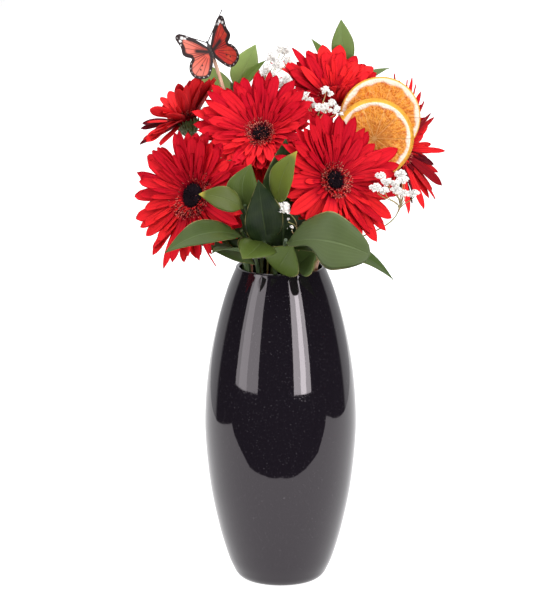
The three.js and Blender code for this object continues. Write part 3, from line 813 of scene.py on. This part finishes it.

# azimuth, stem's end, its direction there, and the leaves: place on the stem, tip, width, the way
# the upper side looks, bend, fold, lightness, warmth (waxy grey below 0), how wavy the edge is, and
# how far the midrib bows to a side, where it does. The lightness is partly the leaf's own
# colour and partly painted light and shade: the darkest leaves stand for the shadows among the
# others.
FOLIAGE = {
    "front_right": (292, (4, -72, 308), (0.2, -0.8, 0.5), {
        "broad": (0.9, (72, -98, 301), 50, (-0.1, -0.9, 0.42), 9, 7, 0.205, -0.8, 0.8, 4.5),
        "tail": (0.65, (93, -42, 268), 25, (0.3, -0.5, 0.8), 17, 14, 0.2, 0.1, 0.5),
        "mouth": (0.12, (30, -50, 295), 28, (0.1, -0.85, 0.5), 3, 10, 0.55, -0.4, 0.4)}),
    "front_left": (232, (-32, -68, 315), (-0.3, -0.6, 0.7), {
        "long": (0.9, (-93, -100, 303), 26, (0, -0.7, 0.7), 9, 20, 0.14, 0.3, 0.5, -4),
        "narrow": (0.35, (-56, -72, 297), 19, (-0.3, -0.3, 0.9), 4, 20, 0.35, -0.5, 0.3, -4),
        "under": (0.15, (-84, -30, 303), 30, (-0.3, -0.5, 0.8), 5, 14, 0.2, 0.2, 0.4, -5)}),
    "front_middle": (262, (-29, -78, 338), (-0.2, -0.3, 0.9), {
        "over_eye": (0.97, (-66, -84, 348), 20, (0, -0.95, 0.35), 3, 8, 0.19, 0.8, 0.5, -2.5),
        "upright": (0.92, (-24, -70, 370), 26, (0, -0.95, 0.2), 3, 10, 0.2, 0.4, 0.4, 6),
        "dark": (0.42, (-18, -92, 361), 34, (0.15, -0.9, 0.2), 5, 14, 0.01, 0.1, 0.4, 2),
        "low": (0.5, (-31, -90, 296), 34, (0, -0.7, 0.7), 3, 10, 0.23, 0.4, 0.3, 3),
        "wide": (0.25, (-36, -32, 344), 42, (0.2, -0.9, 0.2), 2, 10, 0.05, 0.1, 0.5, 8),
        "collar": (0.05, (10, -65, 302), 34, (0.1, -0.85, 0.4), 3, 8, 0.42, 0.3, 0.4)}),
    "middle_right": (274, (-4, -64, 340), (0.1, -0.2, 0.9), {
        "yellow_tip": (0.95, (13, -84, 383), 23, (-0.5, -0.85, 0.1), 4, 12, 0.4, 0.75, 0.4, 3),
        "shaded": (0.5, (4, -54, 388), 34, (0, -0.95, 0.2), 3, 8, 0.06, 0.1, 0.4),
        "deep": (0.36, (2, -67, 339), 40, (0.1, -0.9, 0.2), 3, 8, 0.02, 0.1, 0.5)}),
    "back_left": (122, (-41, 38, 420), (0, 0.1, 1), {
        "pale": (0.97, (-21, 42, 452), 22, (0.1, -0.95, 0.3), 3, 6, 1.0, 0.2, 0.4),
        "arched": (0.9, (-12, 26, 441), 14, (-0.2, -0.6, 0.8), 4, 14, 0.55, 0.2, 0.3),
        "side": (0.8, (-70, 82, 432), 27, (0, -0.3, 0.95), 5, 12, 0.45, 0.45, 0.4),
        "outer": (0.45, (-69, 78, 350), 28, (-0.3, 0.5, 0.8), 7, 12, 0.4, 0.2, 0.6),
        "low": (0.15, (-44, 72, 300), 32, (-0.2, 0.6, 0.7), 6, 12, 0.2, 0.2, 0.5)}),
    "back_right": (42, (55, 66, 430), (0, 0.1, 1), {
        "tall": (0.98, (51, 60, 471), 20, (0, -0.98, 0.2), 3, 8, 0.6, -0.5, 0.3),
        "spike": (0.9, (26, 72, 453), 12, (0.3, -0.8, 0.5), 3, 14, 0.4, 0.2, 0.2),
        "edge": (0.85, (93, 78, 427), 16, (-0.1, -0.3, 0.95), 4, 14, 0.4, 0.2, 0.3),
        "outer": (0.35, (46, 100, 342), 28, (0.1, 0.6, 0.75), 7, 12, 0.4, 0.2, 0.6)}),
}

leaf_green, tree = finish_of("leaf_green")
along, across, under, light, warm = tree.attributes("along", "across", "under", "light", "warm")
blotch = tree.noise(70, 3)
vein = (across * 44.0 + blotch * 1.5).sin() * 0.5 + 0.5
rib = across.size().step(0.055, 0.015)
edge = across.size().step(0.935, 0.985)
# the lightness is painted light and shade as much as the leaf's own green
green = tree.mix(light, (0.005, 0.013, 0.006), (0.18, 0.31, 0.060))
olive = tree.mix(light, (0.022, 0.030, 0.008), (0.34, 0.38, 0.040))
green = tree.mix(warm, green, olive)
green = tree.mix(warm * -1, green, tree.mix(light, (0.012, 0.016, 0.008), (0.29, 0.37, 0.14)))
green = tree.mix(light.step(0.8, 1.4), green, (0.38, 0.44, 0.24))
green = tree.mix(blotch.step(0.3, 0.75) * 0.35, green, tree.mix(0.5, green, (0.10, 0.14, 0.04)))
green = tree.mix(vein.step(0.7, 1.0) * 0.05, green, (0.16, 0.24, 0.09))
green = tree.mix(rib * 0.15, green, (0.20, 0.27, 0.11))
green = tree.mix(edge * blotch.step(0.35, 0.6) * 0.55, green, (0.58, 0.48, 0.20))
green = tree.mix(along.step(0.84, 1.0) * warm.step(0.35, 0.75) * 0.8, green, (0.55, 0.42, 0.06))
green = tree.mix(under * 0.4, green, (0.15, 0.21, 0.11))
tree.surface({
    "Base Color": green, "Roughness": blotch * 0.14 + under * 0.15 + 0.34,
    "Specular IOR Level": 0.17,
    "Normal": tree.bump(vein * 0.10 + blotch * 0.8 - rib * 1.2, 0.0006, 0.5)},
    0.12, tree.translucent((0.25, 0.42, 0.06)))


def mottled(name, noise, step, first, second, roughness):
    """A paint that drifts between two colours."""
    material, tree = finish_of(name)
    tree.surface({"Base Color": tree.mix(tree.noise(*noise).step(*step), first, second),
                  "Roughness": roughness})
    return material


twig_green = mottled("twig_green", (60, 3), (0.35, 0.7), (0.022, 0.042, 0.012), (0.07, 0.10, 0.03),
                     0.45)


def leaf_shape(name, node, base, values, rng):
    """A leaf blade with its short stalk, from its node on the stem to its tip."""
    _, tip, width, looks, bend_out, fold, light, warm, wave, *bow_aside = values
    tip = np.array(tip, float)
    axis = unit(tip - base)
    side = unit(np.cross(axis, looks))
    face = np.cross(side, axis)
    middle = (base + tip) / 2 + face * 2 * bend_out - side * 2 * sum(bow_aside)
    outlines = [through(half, 8).T for half in LOPSIDED.get(name, (POINTED, POINTED))]
    ups = np.linspace(-1, 1, 15)
    rounding = np.sqrt(np.maximum(0, 1 - ups ** 2))
    angle = math.radians(fold)
    phase = rng.uniform(0, 6.28)
    rows = []
    for t in LEAF_STATIONS:
        if t < 0:
            centre, half, open_out = node + (base - node) * (1 + t / 0.06), STALK_HALF, 0.0
        else:
            centre = (1 - t) ** 2 * base + 2 * t * (1 - t) * middle + t * t * tip
            edges = [max(width / 2 * np.interp(t, *outline), 0.1 if t > 0.05 else STALK_HALF)
                     for outline in outlines]
            half = np.where(ups < 0, *edges)
            open_out = min(1, t / 0.2)
        flat = ups * half * math.cos(angle)
        folded = half * math.sin(angle) * (np.sqrt(ups ** 2 + 0.01) - 0.1)
        ripple = np.sin(11 * t + phase + 1.3 * np.sign(ups))
        ripple = wave * open_out * ripple * ups ** 2 * (half / 12)
        lifted = folded + ripple - 0.10 * half * ups ** 4 * open_out
        thick = STALK_HALF * rounding
        if t > 0.05:
            thick = LEAF_HALF * rounding + 0.35 * np.exp(-(ups * 9) ** 2)
        upper = centre + np.outer(flat, side) + np.outer(lifted + 0.3 * thick, face)
        lower = centre + np.outer(flat, side) + np.outer(lifted - thick, face)
        rows.append(np.vstack([upper, lower[-2:0:-1]]))
    count, around = len(rows), len(rows[0])
    faces = [corners[::-1] for corners in ringed(count, around)]
    made = shape(name, np.vstack(rows), faces, leaf_green)
    note(made, along=np.repeat(LEAF_STATIONS, around), across=np.tile([*ups, *ups[-2:0:-1]], count),
         under=np.tile([0.0] * len(ups) + [1.0] * (len(ups) - 2), count),
         light=np.full(count * around, light), warm=np.full(count * around, warm))
    return made


for number, (name, (azimuth, end, direction, leaves)) in enumerate(FOLIAGE.items()):
    rng = np.random.default_rng(LEAF_SEED + number)
    points, bow = route(azimuth, FOLIAGE_STEM, end, direction)
    stem = rod(f"sprig_{name}_stem", points, FOLIAGE_STEM, 10, twig_green,
               np.linspace(1, 0.8, len(points)))
    stands_for(stem, f"foliage_{name}_stem")
    for leaf, values in leaves.items():
        node = bow(values[0])
        heading = unit(bow(min(values[0] + 0.01, 1)) - bow(values[0] - 0.01))
        outward = np.array(values[1], float) - node
        outward = unit(outward - heading * (outward @ heading))
        base = node + outward * (FOLIAGE_STEM + 2 * GAP)
        made = leaf_shape(f"foliage_{name}_{leaf}", node, base, values, rng)
        stands_for(made, f"leaf_{name}_{leaf}")

# ---------------------------------------------------------------- gypsophila
# Dried baby's breath: thin branched stems, gold and green, each branch ending in a small double
# blossom of papery white petals with two smaller ones beside it.

GYPSOPHILA_STEM = 1.1
SPRAY_SEED = 700
GYPSOPHILA = {
    "top": (111, (-16, 7, 412), (0, 0, 1), (
        (0, 16, 453), (4, 20, 452), (-8, 12, 447), (-3, 10, 441), (6, 14, 445), (-12, 10, 437),
        (-16, 10, 432), (-6, 8, 432), (-1, 6, 426), (5, 8, 428), (9, 4, 421))),
    "middle": (2, (28, -20, 388), (0, -0.1, 1), (
        (20, -5, 416), (24, -9, 412), (37, -18, 423), (42, -16, 412), (32, -22, 409),
        (37, -24, 410), (46, -22, 407), (34, -26, 397))),
    "right": (333, (97, -24, 322), (0.3, -0.2, 0.95), (
        (83, -44, 356), (88, -48, 352), (85, -54, 346), (78, -54, 348), (95, -46, 350),
        (101, -40, 352), (99, -36, 356), (95, -48, 345), (102, -42, 341), (110, -36, 340))),
    "low": (304, (13, -57, 316), (0, -0.2, 0.9), ((4, -71, 336), (9, -68, 318), (6, -65, 324))),
}

# size of each blossom of a spray, where they differ much
FULLNESS = {"low": (1.25, 0.5, 0.3)}

blossom_white, tree = finish_of("blossom_white")
along, tone = tree.attributes("along", "tone")
# painted shade: the frills grow greyer towards the blossom's heart, where they crowd; the faint
# emission is a painted glow, though a blossom is no lamp
white = tree.mix(along.step(0.0, 0.5), (0.80, 0.78, 0.70), (0.97, 0.96, 0.94))
tree.surface({
    "Base Color": tree.mix(tone * 0.22, white, (0.72, 0.68, 0.64)),
    "Roughness": 0.75, "Emission Color": (1.0, 0.97, 0.96, 1), "Emission Strength": 0.09},
    0.3, tree.translucent((0.95, 0.93, 0.91)))
spray_stem = mottled("spray_stem", (45, 2), (0.35, 0.65), (0.22, 0.25, 0.07), (0.42, 0.30, 0.13),
                     0.55)

rng = np.random.default_rng(SPRAY_SEED)
frills = []
for i in range(30):
    ring_number = i // 10
    frills.append(dict(
        kind=1, angle=36 * i + 12 * ring_number + rng.uniform(-10, 10), root=0.25,
        rise=-0.9 + 0.35 * ring_number, long=rng.uniform(3.0, 3.7) - 0.5 * ring_number,
        cup=(8, 38, 66)[ring_number] + rng.uniform(-10, 10), curl=rng.uniform(-45, 25) + 0.01,
        twist=rng.uniform(-60, 60), sway=rng.uniform(-0.7, 0.7), width=rng.uniform(0.9, 1.3),
        tone=rng.uniform()))
bud = shape("bud", *turned([(0, -2.4), (0.8, -2.2), (1.1, -1.2), (0.9, -0.3), (0, 0)], 8))
blossom = blades_of("blossom", frills, bud, blossom_white)
scene.collection.objects.unlink(blossom)

# a copy of the object stands on every point, turned by its spin and scaled by its size
scatter, given, result = group("scattered", Blossom="Object")
copies = scatter.node("GeometryNodeInstanceOnPoints", {
    "Points": given["Geometry"], "Scale": scatter.carried("size"),
    "Instance": scatter.node("GeometryNodeObjectInfo", {
        "Object": given["Blossom"]}).outputs["Geometry"],
    "Rotation": scatter.node("FunctionNodeEulerToRotation", {
        0: scatter.carried("spin", "FLOAT_VECTOR")}).outputs[0]})
ends_as(result, scatter, copies.outputs[0], blossom_white)


def fork_for(bow, blossom):
    """Where a branch leaves the stem: as high as it can and still climb steeply."""
    for share in np.arange(1, 0.5, -0.05):
        fork = bow(share)
        if blossom[2] - fork[2] > 0.8 * math.hypot(*(blossom - fork)[:2]):
            return fork, share
    return bow(0.5), 0.5


for name, (azimuth, end, direction, places) in GYPSOPHILA.items():
    points, bow = route(azimuth, GYPSOPHILA_STEM, end, direction)
    main = np.array(places, float)
    twigs = [rod("twig", points, GYPSOPHILA_STEM, 8, spray_stem, np.linspace(1, 0.45, len(points)))]
    for place in main:
        fork, share = fork_for(bow, place)
        heading = unit(bow(share) - bow(share - 0.05))
        gap = np.linalg.norm(place - fork)
        first, second = fork + heading * gap * 0.4, place - (0, 0, gap * 0.25)
        branch = bowed(np.linspace(0, 1, 8)[:, None], fork, first, second, place - (0, 0, 2.2))
        twigs.append(rod("twig", branch, GYPSOPHILA_STEM, 8, spray_stem,
                         np.linspace(0.42, 0.26, 8)))
    stems = joined(*twigs)
    stems.name = f"gypsophila_{name}_stems"

    fullness = np.array(FULLNESS.get(name, (1.0,) * len(main)))
    beside = np.vstack([main + rng.uniform((-4.5, -2, -4.5), (4.5, 2, 1)) for _ in range(2)])
    clusters = np.vstack([main, beside])
    turns = rng.uniform(-0.7, 0.7, (len(clusters), 3)) + np.array([0.35, 0, 0])
    sizes = rng.uniform(1.1, 1.4, len(clusters)) * np.concatenate(
        [fullness, 0.62 * np.tile(fullness, 2) ** 3])
    flowers = seeds("places", clusters, spin=turns, size=sizes)
    flowers = grown(f"gypsophila_{name}_blossoms", flowers, scatter, blossom=blossom)
    for made in (stems, flowers):
        stands_for(made, f"gypsophila_{name}")
bpy.data.objects.remove(blossom)

# ---------------------------------------------------------------- dried orange slices
# Two slices of dried orange on one pick. The peel is a thin yellow-orange band, the front face a
# little smaller than the back one. The pith is a cream ring with a scalloped inner edge, and the
# flesh is glassy and shrunk between its membranes.

ORANGE_AT, ORANGE_FACING = (80, 2, 385), (0.1, -0.99, 0.06)
ORANGE_AZIMUTH, ORANGE_TAIL, ORANGE_TOP = 346, 52, 26
ORANGE_THICK = 5.5
ORANGE_EDGE = 0.4
SEGMENTS = 10
SLICE_RINGS, SLICE_SECTORS = 56, 220
PICK = 1.5

orange_flesh, tree = finish_of("dried_orange")
radius, membrane, pith, peel = tree.attributes("radius", "membrane", "pith", "peel")
polar = tree.node("ShaderNodeAttribute", attribute_name="polar").outputs["Vector"]
sacs = tree.value("ShaderNodeTexVoronoi", {"Vector": polar, "Scale": 1.0},
                  feature="DISTANCE_TO_EDGE")
streaks = tree.noise(0.9, 3, polar)
flesh = tree.mix(streaks.step(0.3, 0.7), (0.52, 0.095, 0.004), (0.90, 0.37, 0.032))
flesh = tree.mix(radius.step(0.75, 0.1) * 0.55, flesh, (0.55, 0.13, 0.012))
flesh = tree.mix(sacs.step(0.14, 0.02) * 0.5, flesh, (0.95, 0.55, 0.14))
flesh = tree.mix(membrane * 0.7, flesh, (0.92, 0.56, 0.20))
skin_colour = tree.mix(tree.noise(700, 2).step(0.4, 0.65) * 0.5, (1.0, 0.56, 0.07),
                       (0.90, 0.36, 0.03))
colour = tree.mix(pith, flesh, (1.0, 0.92, 0.76))
tree.surface({
    "Base Color": tree.mix(peel, colour, skin_colour),
    "Roughness": pith * 0.35 + peel * 0.05 + 0.38, "Specular IOR Level": 0.25,
    "Normal": tree.bump(sacs.step(0.0, 0.3) + streaks * 0.6, 0.0008, 0.7)},
    0.3, tree.translucent((0.95, 0.45, 0.08)))


def ramp(values, width=1.0):
    """0 below 0, 1 above the width."""
    return np.clip(values / width, 0, 1)


def weld(made):
    """Joins points that lie on each other and turns all faces outwards."""
    work = bmesh.new()
    work.from_mesh(made.data)
    bmesh.ops.remove_doubles(work, verts=work.verts, dist=1e-6)
    bmesh.ops.recalc_face_normals(work, faces=work.faces)
    work.to_mesh(made.data)
    work.free()
    made.data.shade_smooth()


def orange_slice(name, offset, behind, seed, radii, pith_from, peel_from):
    """A slice as two relief faces, the front one often smaller, that meet at the peel."""
    rng = np.random.default_rng(seed)
    cuts = np.arange(SEGMENTS) + rng.uniform(-0.16, 0.16, SEGMENTS)
    cuts = np.sort(cuts * 2 * math.pi / SEGMENTS)
    sectors = SLICE_SECTORS
    angles = 2 * math.pi * np.arange(sectors) / sectors
    away = np.abs((angles[:, None] - cuts[None, :] + math.pi) % (2 * math.pi) - math.pi).min(1)
    points, values = [], {key: [] for key in ("radius", "membrane", "pith", "peel", "polar")}
    for side in (1, -1):
        outer = radii[side < 0] - ORANGE_EDGE
        for ring_number in range(SLICE_RINGS + 1):
            share = ring_number / SLICE_RINGS
            share = share if side > 0 else 1 - share
            r = outer * share
            gap = away * r
            scallops = 0.022 * np.cos(away * 10 - math.pi) + 0.007 * np.sin(angles * 23)
            pulp_edge = outer * (pith_from + scallops)
            in_pulp = ramp(pulp_edge - r, 1.2)
            wall_of = ramp(1 - gap / 0.55) * in_pulp * ramp(r, 2.5)
            core_spot = ramp(1 - (r - 1.6) / 1.0)
            skins = np.maximum(wall_of, core_spot)
            in_peel = ramp(r - outer * peel_from, 0.4) * np.ones(sectors)
            bulge = ramp(np.minimum(gap, pulp_edge - r), 3.2) ** 0.6 * in_pulp
            warp = (0.55 * np.sin(2 * angles + seed) * share ** 2
                    + 0.4 * np.sin(3 * angles + 2) * share ** 2)
            dent = 0.5 * np.sin(angles * 9 + seed + 6 * share) * in_pulp * share
            high = ORANGE_THICK / 2 - 0.75 - 1.0 * in_pulp + 0.75 * bulge + dent * 0.45
            high = high + 0.55 * skins - 1.2 * ramp(share - 0.95, 0.05) ** 2
            points.append(np.column_stack([r * np.cos(angles), r * np.sin(angles),
                                           side * high + warp * 0.8]))
            polar_place = np.column_stack([angles * 13, np.full(sectors, r * 0.28),
                                           np.full(sectors, 3.0 * side)])
            for key, value in zip(values, (
                    np.full(sectors, share), skins, 1 - in_pulp, in_peel, polar_place)):
                values[key].append(value)
    faces = [(k + sectors + i, k + sectors + (i + 1) % sectors, k + (i + 1) % sectors, k + i)
             for k in range(0, (len(points) - 1) * sectors, sectors) for i in range(sectors)]
    made = shape(name, np.vstack(points), faces, orange_flesh)
    note(made, **{key: np.concatenate(rows) for key, rows in values.items()})
    basis = face_basis(ORANGE_FACING)
    shift = behind * (PICK + GAP + ORANGE_THICK / 2)
    weld(placed(made, basis, np.array(ORANGE_AT, float) + basis @ np.array([*offset, -shift])))
    stands_for(made, name.replace("dried", "orange"))


orange_slice("dried_slice_back", offset=(3.4, 10.8), behind=1, seed=5, radii=(33.6, 34.4),
             pith_from=0.896, peel_from=0.978)
orange_slice("dried_slice_front", offset=(-3, -5.5), behind=-1, seed=8, radii=(31.3, 33.8),
             pith_from=0.895, peel_from=0.965)

pick_wood, tree = finish_of("pick_wood")
grain = tree.grain((900.0, 900.0, 30.0), 4)
tree.surface({
    "Base Color": tree.mix(grain.step(0.3, 0.7), (0.52, 0.30, 0.20), (0.72, 0.47, 0.34)),
    "Roughness": grain * 0.2 + 0.55, "Normal": tree.bump(grain, 0.0002, 0.5)})

rise = face_basis(ORANGE_FACING)[:, 1]
start, end = np.array(ORANGE_AT) - rise * ORANGE_TAIL, np.array(ORANGE_AT) + rise * ORANGE_TOP
points, _ = route(ORANGE_AZIMUTH, PICK, start, rise)
stick = rod("orange_stick", np.vstack([points, end]), PICK, 12, pick_wood)
stands_for(stick, "orange_pick")

# ---------------------------------------------------------------- butterfly
# A decoration of thin printed card on a wooden pick: two wing pairs, red with dark borders and
# pale dots, glued to a slim dark body that has two wire feelers.

BUTTERFLY_AT, BUTTERFLY_FACING, BUTTERFLY_LEAN = (-58, 12, 451), (0, -0.974, 0.225), 23.5
BUTTERFLY_AZIMUTH = 145
BODY_LONG, BODY_RADIUS = 17.0, 1.5
RAISED = {"left": 20, "right": 28}
SPAN = ((0.8, 2.5), (5, 8), (11, 15), (18, 20.5), (23, 22), (26, 19), (24.5, 11), (25.5, 5),
        (23.5, 2), (19, -1), (22.5, -4), (25.5, -10), (24, -16), (18, -19.5), (11, -20), (5, -14),
        (0.8, -6))
SPAN_FAR = 28
WING_STEPS = 34
FEELERS = ((22, 20.5), (-19, 16))
FEELER_RADIUS = 0.42
CARD = 0.45

# pale dots on the dark tip of a fore wing: place and radius
DOTS = ((20.0, 18.0, 1.5), (22.6, 16.0, 1.3), (17.6, 16.6, 1.0), (23.6, 12.8, 0.8),
        (15.2, 17.3, 0.7), (24.4, 19.4, 0.6))

body_dark = mottled("body_dark", (900, 2), (0.4, 0.65), (0.012, 0.010, 0.011), (0.06, 0.045, 0.04),
                    0.7)


def wing_paint(name, inner, outer):
    """Printed card: the field's colours near the body and further out differ for each wing.
    On the left pair they are paler, a painted sheen.
    """
    material, tree = finish_of(name)
    dark, spots, far = tree.attributes("dark", "spots", "far")
    cloud = tree.noise(220, 3)
    field = tree.mix(far.step(0.15, 0.9), inner, outer)
    field = tree.mix(cloud.step(0.45, 0.75) * 0.3, field, (0.80, 0.16, 0.06))
    field = tree.mix(dark * 0.98, field, (0.009, 0.007, 0.008))
    tree.surface({
        "Base Color": tree.mix(spots, field, (0.86, 0.84, 0.82)),
        "Roughness": cloud * 0.2 + 0.45, "Specular IOR Level": 0.25})
    return material


# the left pair's paler coral, paler still further out, is a painted sheen of studio light off the
# card
WING_PAINTS = {"left": wing_paint("wing_red_painted_sheen", (0.52, 0.070, 0.045), (0.60, 0.17, 0.125)),
               "right": wing_paint("wing_red", (0.42, 0.012, 0.010), (0.44, 0.030, 0.018))}


def distance_to(points, start, end):
    """Distance of each point from a stretch between two points."""
    start, end = np.asarray(start, float), np.asarray(end, float)
    share = np.clip(((points - start) @ (end - start)) / ((end - start) @ (end - start)), 0, 1)
    return np.linalg.norm(points - start - share[:, None] * (end - start), axis=1)


lean = math.radians(BUTTERFLY_LEAN)
BUTTERFLY_BASIS = face_basis(BUTTERFLY_FACING) @ np.array([
    [math.cos(lean), -math.sin(lean), 0], [math.sin(lean), math.cos(lean), 0], [0, 0, 1]])


def wing(name, side):
    """A wing pair of one side: a raised card with its print as numbers on its points."""
    outline = through([*SPAN, SPAN[0]], 9)[:-1]
    count = len(outline)
    root = np.array((1.2, -1.0))
    shares = np.linspace(0, 1, WING_STEPS + 1)[1:]
    rows = [root + (outline - root) * share for share in shares]
    flat = np.vstack([root, *rows])
    stretches = zip(outline, np.roll(outline, -1, 0))
    edge = np.min([distance_to(flat, start, end) for start, end in stretches], axis=0)
    ends = [SPAN[i] for i in (2, 3, 4, 5, 6, 7, 8, 10, 11, 12, 13, 14, 15)]
    veins = np.min([distance_to(flat, root, end) for end in ends], axis=0)
    split = distance_to(flat, root, (19, -1))
    far = np.linalg.norm(flat - root, axis=1) / SPAN_FAR
    fore = flat[:, 1] > -1 + 0.12 * (flat[:, 0] - 2)
    border = ramp(np.where(fore, 2.2 + 2.4 * far, 3.0) - edge, 0.7)
    tip = ramp(np.linalg.norm(flat - (11, 9), axis=1) - 10.5, 1.2) * fore
    smudge = ramp(3.2 - distance_to(flat, root, (12, 3.5)), 2.4)
    blots = np.min([np.linalg.norm(flat - at, axis=1) for at in ((12.5, -9), (15.5, -12))], axis=0)
    dark = np.maximum.reduce([
        border, tip, smudge, ramp(0.42 - veins, 0.3) * (far > 0.2) * 0.8, ramp(0.5 - split, 0.3),
        ramp(1.0 - blots, 0.4)])
    rim = through([(p[0] - 1.15 * (p[0] - 13) / 12, p[1] - 1.15 * (p[1] + 9) / 11)
                   for p in SPAN[10:16]], 3)[::2]
    spots = np.max([ramp(r - np.linalg.norm(flat - (x, y), axis=1), 0.3)
                    for x, y, r in (*DOTS, *((x, y, 0.5) for x, y in rim))], axis=0)
    height = 0.010 * (flat[:, 0] - 2) ** 2 * (0.6 if side < 0 else 1.0)
    height = height + np.where(fore, 0.25, 0) * ramp(far * 3)
    half = len(flat)
    faces = []
    for base, order in ((0, 1), (half, -1)):
        for i in range(count):
            j = (i + 1) % count
            faces.append((base, base + 1 + i, base + 1 + j)[::order])
            for a in range(base + 1, base + 1 + (WING_STEPS - 1) * count, count):
                faces.append((a + i, a + count + i, a + count + j, a + j)[::order])
    rim_row = 1 + (WING_STEPS - 1) * count
    faces += [(rim_row + i, half + rim_row + i, half + rim_row + (i + 1) % count,
               rim_row + (i + 1) % count) for i in range(count)]
    angle = -math.radians(RAISED[name])
    raised = np.array([[math.cos(angle), 0, math.sin(angle)], [0, 1, 0],
                       [-math.sin(angle), 0, math.cos(angle)]])
    points = np.vstack([np.column_stack([flat, height + CARD / 2]),
                        np.column_stack([flat, height - CARD / 2])]) @ raised.T
    made = shape(f"wings_{name}", points * (side, 1, 1), faces, WING_PAINTS[name])
    note(made, dark=np.tile(dark, 2), spots=np.tile(spots, 2), far=np.tile(far, 2))
    weld(placed(made, BUTTERFLY_BASIS, BUTTERFLY_AT))
    stands_for(made, f"butterfly_{name}_wing")


wing("left", -1)
wing("right", 1)

half = BODY_LONG / 2
trunk_outline = through([(0.1, -half), (0.8, -half * 0.75), (1.15, -half * 0.4), (1.0, -half * 0.1),
                         (1.5, half * 0.2), (1.45, half * 0.5), (0.8, half * 0.68),
                         (1.05, half * 0.84), (0.7, half * 0.97), (0.1, half)], 4)
rings_of_body = 0.07 * np.sin(trunk_outline[:, 1] * 5.5) * (trunk_outline[:, 1] < 0)
trunk_points, trunk_faces = turned([(0, -half), *zip(trunk_outline[:, 0] + rings_of_body,
                                                     trunk_outline[:, 1]), (0, half)], 20)
trunk = shape("butterfly_trunk", trunk_points[:, [0, 2, 1]] * (1, 1, -1), trunk_faces, body_dark)
head = np.array((0, half * 0.8, 0))
parts = [trunk]
for x, y in FEELERS:
    shares = np.linspace(0, 1, 12)
    feeler = head + np.outer(shares, (x, y, 0)) + np.outer(np.sin(shares * math.pi), (0, 0, 0.6))
    parts.append(rod("feeler", feeler, FEELER_RADIUS, 8, body_dark,
                     np.interp(shares, (0, 0.9, 1), (1, 0.8, 1.3))))
weld(placed(joined(*parts), BUTTERFLY_BASIS, BUTTERFLY_AT))
stands_for(trunk, "butterfly_body")

behind = np.array(BUTTERFLY_AT) - np.array(BUTTERFLY_FACING) * (BODY_RADIUS + PICK + GAP)
points, _ = route(BUTTERFLY_AZIMUTH, PICK, behind, (-0.34, 0.05, 0.93))
stands_for(rod("butterfly_stick", points, PICK, 12, pick_wood), "butterfly_pick")
